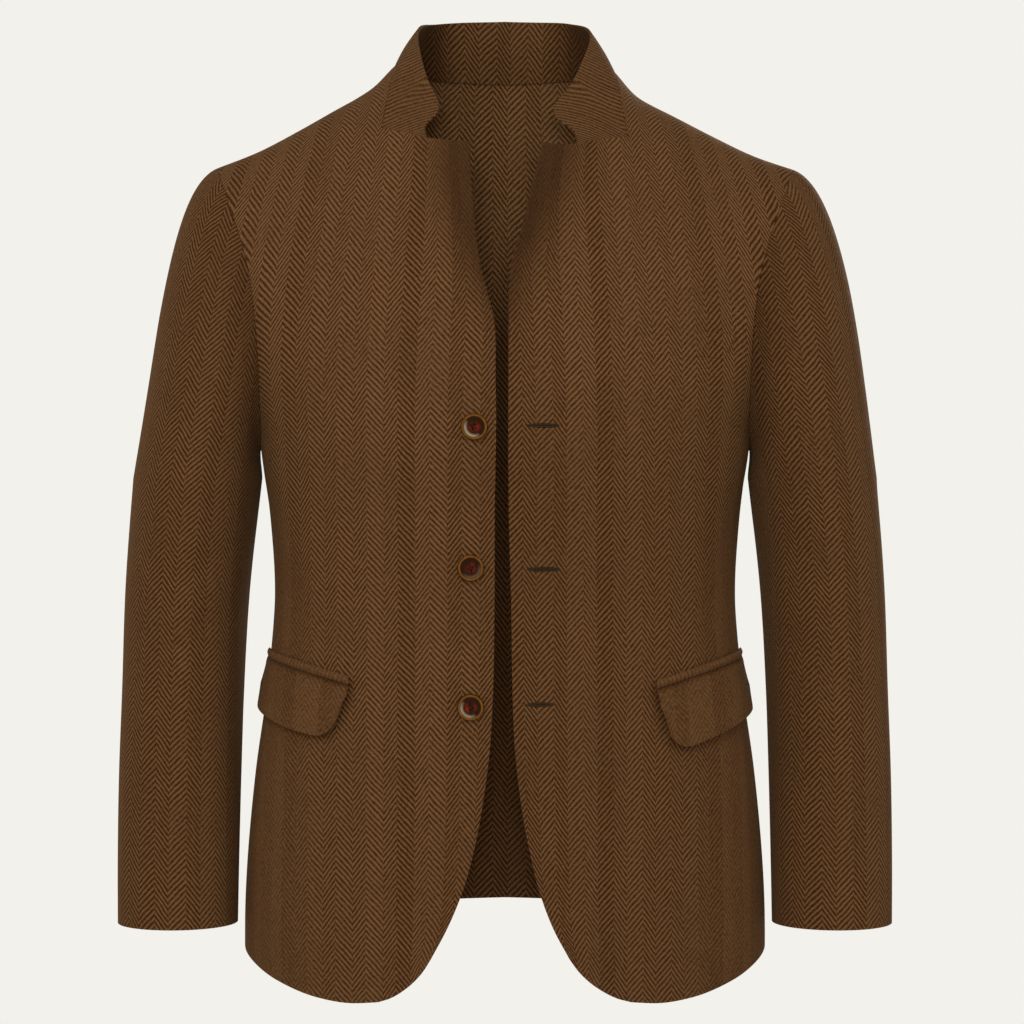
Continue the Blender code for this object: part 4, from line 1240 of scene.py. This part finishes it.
# %% Horn and thread
def make_horn():
    """Rings of colour by distance from the button's middle, clouded by noise, with a painted
    reflection on one side of the dish and painted shade round its outer edge.
    """
    material = bpy.data.materials.new("brown_horn")
    material.use_nodes = True
    tree = material.node_tree
    shader = tree.nodes["Principled BSDF"]
    body = node(tree, "ShaderNodeTexCoord", (-1200, 0)).outputs["Object"]
    streak = node(tree, "ShaderNodeMapping", (-1000, 0))
    streak.inputs["Scale"].default_value = (1.0, 1.0, 0.5)
    tree.links.new(body, streak.inputs["Vector"])
    cloud = noise(tree, streak.outputs[0], 260.0, 3.0, (-800, 0))
    share = sum_of(tree, "MULTIPLY_ADD", sum_of(tree, "SUBTRACT", cloud, 0.5), 3.2, 0.32,
                   clamp=True)
    spot = node(tree, "ShaderNodeAttribute", (-1800, -500), attribute_name="place")
    parts = node(tree, "ShaderNodeSeparateXYZ", (-1600, -500))
    tree.links.new(spot.outputs["Vector"], parts.inputs[0])
    x, y, reflection_strength = parts.outputs
    out = sum_of(tree, "SQRT", sum_of(tree, "MULTIPLY_ADD", x, x, sum_of(tree, "MULTIPLY", y, y)))

    def between(value, start, end):
        """A ramp that is 0 at the start and 1 at the end."""
        return sum_of(tree, "MULTIPLY_ADD", value, 1 / (end - start), -start / (end - start),
                      clamp=True)

    red = between(out, 0.55, 0.25)
    colour = blend_colours(tree, sum_of(tree, "MULTIPLY", share, red),
                           (0.0120, 0.0048, 0.0022), (0.110, 0.0085, 0.0040))
    golden = blend_colours(tree, cloud, (0.030, 0.0120, 0.0018), (0.120, 0.0460, 0.0075))
    colour = blend_colours(tree, between(out, 0.76, 0.82), colour, golden)
    # painted shade: a dark ring round the button's outer edge, where it meets the cloth
    colour = blend_colours(tree, between(out, 0.91, 0.98), colour, (0.0120, 0.0042, 0.0010))
    # painted reflection: a pale grey-beige crescent on the inner slope of the rim, on one side
    ring = sum_of(tree, "SUBTRACT", between(out, 0.50, 0.68), between(out, 0.72, 0.80))
    turned = between(sum_of(tree, "DIVIDE", x, out), 0.05, 0.75)
    pale = sum_of(tree, "MULTIPLY", sum_of(tree, "MULTIPLY", ring, turned), reflection_strength)
    pale = sum_of(tree, "MULTIPLY", pale, sum_of(tree, "MULTIPLY_ADD", cloud, 0.8, 0.45))
    colour = blend_colours(tree, pale, colour, (0.165, 0.130, 0.085))
    tree.links.new(colour, shader.inputs["Base Color"])
    shader.inputs["Roughness"].default_value = 0.45
    shader.inputs["Specular IOR Level"].default_value = 0.002
    return material


def make_thread():
    material = bpy.data.materials.new("brown_thread")
    material.use_nodes = True
    tree = material.node_tree
    shader = tree.nodes["Principled BSDF"]
    body = node(tree, "ShaderNodeTexCoord", (-800, 0)).outputs["Object"]
    twist = noise(tree, body, 2600.0, 2.0, (-600, 0))
    pale = tuple(1.9 * c for c in THREAD_BROWN)
    tree.links.new(blend_colours(tree, twist, THREAD_BROWN, pale), shader.inputs["Base Color"])
    shader.inputs["Roughness"].default_value = 0.8
    shader.inputs["Specular IOR Level"].default_value = 0.08
    return material


THREAD_BROWN = (0.0095, 0.0048, 0.0018)
horn = make_horn()
thread = make_thread()

# %% One button
HOLE_OFFSET, HOLE_RADIUS, DISH_DEPTH, RIM_WIDTH = 0.0019, 0.00085, 0.0012, 0.0026
RIM_DROP, DISH_WALL, BACK_INSET, BACK_DEPTH = 0.0002, 0.0011, 0.0050, 0.0003


def model_button():
    """A cylinder, inset and sunk twice in front and once behind, with four holes."""
    bpy.ops.mesh.primitive_cylinder_add(vertices=72, radius=BUTTON_RADIUS, depth=BUTTON_THICK,
                                        location=(0, 0, BUTTON_THICK / 2))
    button = bpy.context.object
    bpy.ops.object.transform_apply(location=True, rotation=True, scale=True)
    bpy.ops.object.mode_set(mode="EDIT")
    for facing, inset, sink in ((1, RIM_WIDTH, -RIM_DROP), (1, DISH_WALL, -DISH_DEPTH),
                                (-1, BACK_INSET, -BACK_DEPTH)):
        shape = bmesh.from_edit_mesh(button.data)
        for face in shape.faces:
            face.select = face.normal.z * facing > 0.9 and len(face.verts) > 4
        shape.select_flush(True)
        bmesh.update_edit_mesh(button.data)
        bpy.ops.mesh.inset(thickness=inset)
        bpy.ops.transform.translate(value=(0, 0, sink * facing))
    bpy.ops.object.mode_set(mode="OBJECT")
    round_edges(button, 0.0009, 4, 24)
    for k in range(4):
        angle = math.radians(45 + 90 * k)
        bpy.ops.mesh.primitive_cylinder_add(
            vertices=20, radius=HOLE_RADIUS, depth=0.012,
            location=(HOLE_OFFSET * math.cos(angle), HOLE_OFFSET * math.sin(angle), 0.002))
        drill = bpy.context.object
        only(button)
        cut = button.modifiers.new("hole", "BOOLEAN")
        cut.object = drill
        cut.solver = "EXACT"
        bpy.ops.object.modifier_apply(modifier=cut.name)
        bpy.data.objects.remove(drill, do_unlink=True)
    button.data.shade_smooth()
    bpy.ops.object.shade_smooth_by_angle(angle=math.radians(40))
    return button


THREAD_RADIUS, STEM_RADIUS = 0.00042, 0.0021


def model_thread():
    """Two bars of thread across the dish, and the stem of thread under the button."""
    parts = []
    for turn, lift in ((45, 0.0), (135, 0.0004)):
        bpy.ops.mesh.primitive_torus_add(
            major_segments=24, minor_segments=10, major_radius=HOLE_OFFSET,
            minor_radius=THREAD_RADIUS, rotation=(math.pi / 2, 0, math.radians(turn)),
            location=(0, 0, BUTTON_THICK - DISH_DEPTH - 0.0011 + lift))
        parts.append(bpy.context.object)
    bpy.ops.mesh.primitive_cylinder_add(vertices=20, radius=STEM_RADIUS,
                                        depth=BUTTON_SHANK + 0.0012,
                                        location=(0, 0, -BUTTON_SHANK / 2 + 0.0002))
    stem = bpy.context.object
    bpy.ops.object.mode_set(mode="EDIT")
    bpy.ops.mesh.select_all(action="SELECT")
    bpy.ops.mesh.subdivide(number_cuts=1)
    bpy.ops.object.mode_set(mode="OBJECT")
    parts.append(stem)
    bpy.ops.object.select_all(action="DESELECT")
    for thing in parts:
        thing.select_set(True)
    bpy.context.view_layer.objects.active = parts[0]
    bpy.ops.object.join()
    bpy.ops.object.transform_apply(location=True, rotation=True, scale=True)
    return bpy.context.object


# %% Three buttons in their places
BUTTON_TURN = (12, -20, 33)              # no two are sewn on at the same turn
REFLECTION_AT, REFLECTION_SHARE = (222, 300, 222), (1.0, 0.25, 0.85)    # painted reflection on one side of the dish: its angle and strength


def paint_places(mesh, point, number):
    """Stores how far each point lies from the middle, towards the side of the painted reflection
    and across, and how strong that reflection is.
    """
    seen = (np.array([v.co[:] for v in mesh.vertices]) - point) / BUTTON_RADIUS
    angle = math.radians(REFLECTION_AT[number])
    ahead = np.array((math.cos(angle), 0.0, math.sin(angle)))
    aside = np.array((-math.sin(angle), 0.0, math.cos(angle)))
    values = np.column_stack((seen @ ahead, seen @ aside,
                              np.full(len(seen), REFLECTION_SHARE[number])))
    layer = mesh.attributes.new("place", "FLOAT_VECTOR", "POINT")
    layer.data.foreach_set("vector", values.astype(np.float32).ravel())


pattern_button, pattern_thread = model_button(), model_thread()
for number, (name, (x, z)) in enumerate(BUTTONS.items()):
    point, normal = off_front(RIGHT, angle_of(x, z), level_of(x, z), BUTTON_SHANK)
    spot = Matrix.Translation(Vector(point))
    turn = Vector(normal).to_track_quat("Z", "Y").to_matrix().to_4x4()
    turn = turn @ Matrix.Rotation(math.radians(BUTTON_TURN[number]), 4, "Z")
    for source, title, look in ((pattern_button, "button_on_front_", horn),
                                (pattern_thread, "thread_on_front_", thread)):
        mesh = source.data.copy()
        mesh.transform(spot @ turn)
        if look is horn:
            paint_places(mesh, point, number)
        mesh.materials.clear()
        mesh.materials.append(look)
        piece = in_scene(title + name, mesh)
        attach(piece, "root")
        if look is horn:
            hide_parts("button_" + name)
for source in (pattern_button, pattern_thread):
    bpy.data.objects.remove(source, do_unlink=True)
print("buttons sewn on:", len(BUTTONS))

# %% [markdown]
# ## Worked buttonholes
#
# A buttonhole is a slit whose edges are covered by close stitches. From a step away it is a
# dark bar a few millimetres high, lower at its ends. Each stitch here is a small bent bar of
# thread with few faces, because there are many of them. They meet over the slit and hide it.

# %% Buttonholes
HOLE_NAMES = ("top", "middle", "bottom")
HOLES = table(
    "centre height length",
    (0.0321, -0.3195, 0.0245),
    (0.0325, -0.4402, 0.0255),
    (0.0300, -0.5538, 0.0205))
STITCHES, STITCH_RADIUS = 40, 0.00042
STITCH_ARCH = ((0.0, -0.0004), (0.2, 0.0003), (0.8, 0.0003), (1.0, -0.0004))
SLIT_HALF, SLIT_BOW = 0.0003, 0.0004     # half the slit's height, and how far its edges bow
STITCH_REACH, STITCH_UNEVEN = 0.0014, 0.0003     # how far a stitch goes past the edge
BAR_HALF = 0.0009                        # half the height of the bars that close its ends


def on_left_front(x, z, off):
    """A point that stands off the left front at a place seen from the front."""
    point, normal = off_front(LEFT, angle_of(x, z), level_of(x, z), off)
    return Vector(point), Vector(normal)


def stitch(mesh, start, end, normal):
    """A bar of thread over the edge of the slit, arched in the middle."""
    along = (end - start).normalized()
    side = along.cross(normal).normalized()
    rings = []
    for share, lift in STITCH_ARCH:
        centre = start.lerp(end, share) + normal * lift
        rings.append([mesh.verts.new(centre + (side * math.cos(a) + normal * math.sin(a))
                                     * STITCH_RADIUS)
                      for a in (math.radians(45 + 90 * k) for k in range(4))])
    for low, high in zip(rings, rings[1:]):
        for k in range(4):
            mesh.faces.new((low[k], low[(k + 1) % 4], high[(k + 1) % 4], high[k]))
    mesh.faces.new(rings[0][::-1])
    mesh.faces.new(rings[-1])


for number, name in enumerate(HOLE_NAMES):
    shape = bmesh.new()
    centre, height, length = (HOLES[key][number] for key in ("centre", "height", "length"))
    for k in range(STITCHES):
        share = (k + 0.5) / STITCHES
        x = centre + length * (share - 0.5)
        bow = SLIT_BOW * math.sin(share * math.pi)
        full = 0.5 + 0.5 * math.sin(share * math.pi) ** 0.5
        reach = (STITCH_REACH + STITCH_UNEVEN * math.sin(9.7 * k + number)) * full
        for up in (1, -1):
            inner, normal = on_left_front(x, height - up * SLIT_HALF + up * bow * 0.5, 0.0002)
            outer, _ = on_left_front(x + 0.0001 * math.sin(5.1 * k),
                                     height + up * (0.0001 + bow + reach), 0.0003)
            stitch(shape, inner, outer, normal)
    for end in (-1, 1):
        x = centre + end * (length / 2 + 0.0002)
        for lean in (-0.0004, 0.0004):
            low, normal = on_left_front(x + lean, height - BAR_HALF, 0.0004)
            high, _ = on_left_front(x + lean, height + BAR_HALF, 0.0004)
            stitch(shape, low, high, normal)
    bmesh.ops.recalc_face_normals(shape, faces=shape.faces)
    mesh = bpy.data.meshes.new("buttonhole")
    shape.to_mesh(mesh)
    shape.free()
    mesh.materials.append(thread)
    piece = in_scene("buttonhole_" + name, mesh)
    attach(piece, "root")
print("buttonholes worked:", len(HOLE_NAMES))

# %% [markdown]
# ## Floor, light and camera
#
# The jacket is carried by its wearer's shoulders, so the floor lies well below its hem. Soft
# light comes from all round. A large lamp in front above and a smaller one level with the
# jacket bring out the weave, a weak one on each side rounds the sleeves, and one behind lights
# the back. The camera looks level at the jacket's middle from a little over two metres.

# %% The room
FLOOR_RADIUS, FLOOR_Z = 1.6, -1.25
FLOOR_PAINT = (0.40, 0.395, 0.375, 1.0)
ROOM_COLOUR = (0.896, 0.879, 0.831, 1.0)
bpy.ops.mesh.primitive_circle_add(vertices=96, radius=FLOOR_RADIUS, fill_type="NGON",
                                  location=(0, 0, FLOOR_Z))
floor = bpy.context.object
floor.name = "floor"
paint_pot = bpy.data.materials.new("pale_floor")
paint_pot.use_nodes = True
shader = paint_pot.node_tree.nodes["Principled BSDF"]
shader.inputs["Base Color"].default_value = FLOOR_PAINT
shader.inputs["Roughness"].default_value = 0.9
floor.data.materials.append(paint_pot)

world = bpy.data.worlds.new("pale room")
bpy.context.scene.world = world
world.use_nodes = True
world.node_tree.nodes["Background"].inputs["Color"].default_value = ROOM_COLOUR
world.node_tree.nodes["Background"].inputs["Strength"].default_value = 1.0
bpy.context.scene.view_settings.view_transform = "Standard"


def lamp(name, place, aim, size, power):
    """A square lamp. size is its side in metres, and power is in watts."""
    bpy.ops.object.light_add(type="AREA", location=place)
    light = bpy.context.object
    light.name = name
    light.data.size = size
    light.data.energy = power
    light.visible_camera = False
    light.rotation_euler = (Vector(aim) - Vector(place)).to_track_quat("-Z", "Y").to_euler()


lamp("key", (-0.60, -2.45, 0.95), (0, 0, -0.35), 0.9, 42)
lamp("front", (0.02, -2.95, -0.30), (0, 0, -0.38), 0.40, 52)
lamp("right_side", (-2.5, -0.9, 0.35), (0, 0, -0.4), 1.5, 18)
lamp("left_side", (2.5, -0.9, 0.35), (0, 0, -0.4), 1.5, 18)
lamp("back", (1.3, 2.4, 0.9), (0, 0, -0.4), 1.0, 55)

# %% The camera
CAMERA_PLACE = (0.0062, -2.2, -0.392)
FOCAL_PIXELS, PICTURE_PIXELS = 2486, 1024        # focal length, and side of the picture
bpy.ops.object.camera_add(location=CAMERA_PLACE, rotation=(math.pi / 2, 0, 0))
camera = bpy.context.object
camera.data.sensor_width = 36.0
camera.data.lens = camera.data.sensor_width * FOCAL_PIXELS / PICTURE_PIXELS
bpy.context.scene.camera = camera
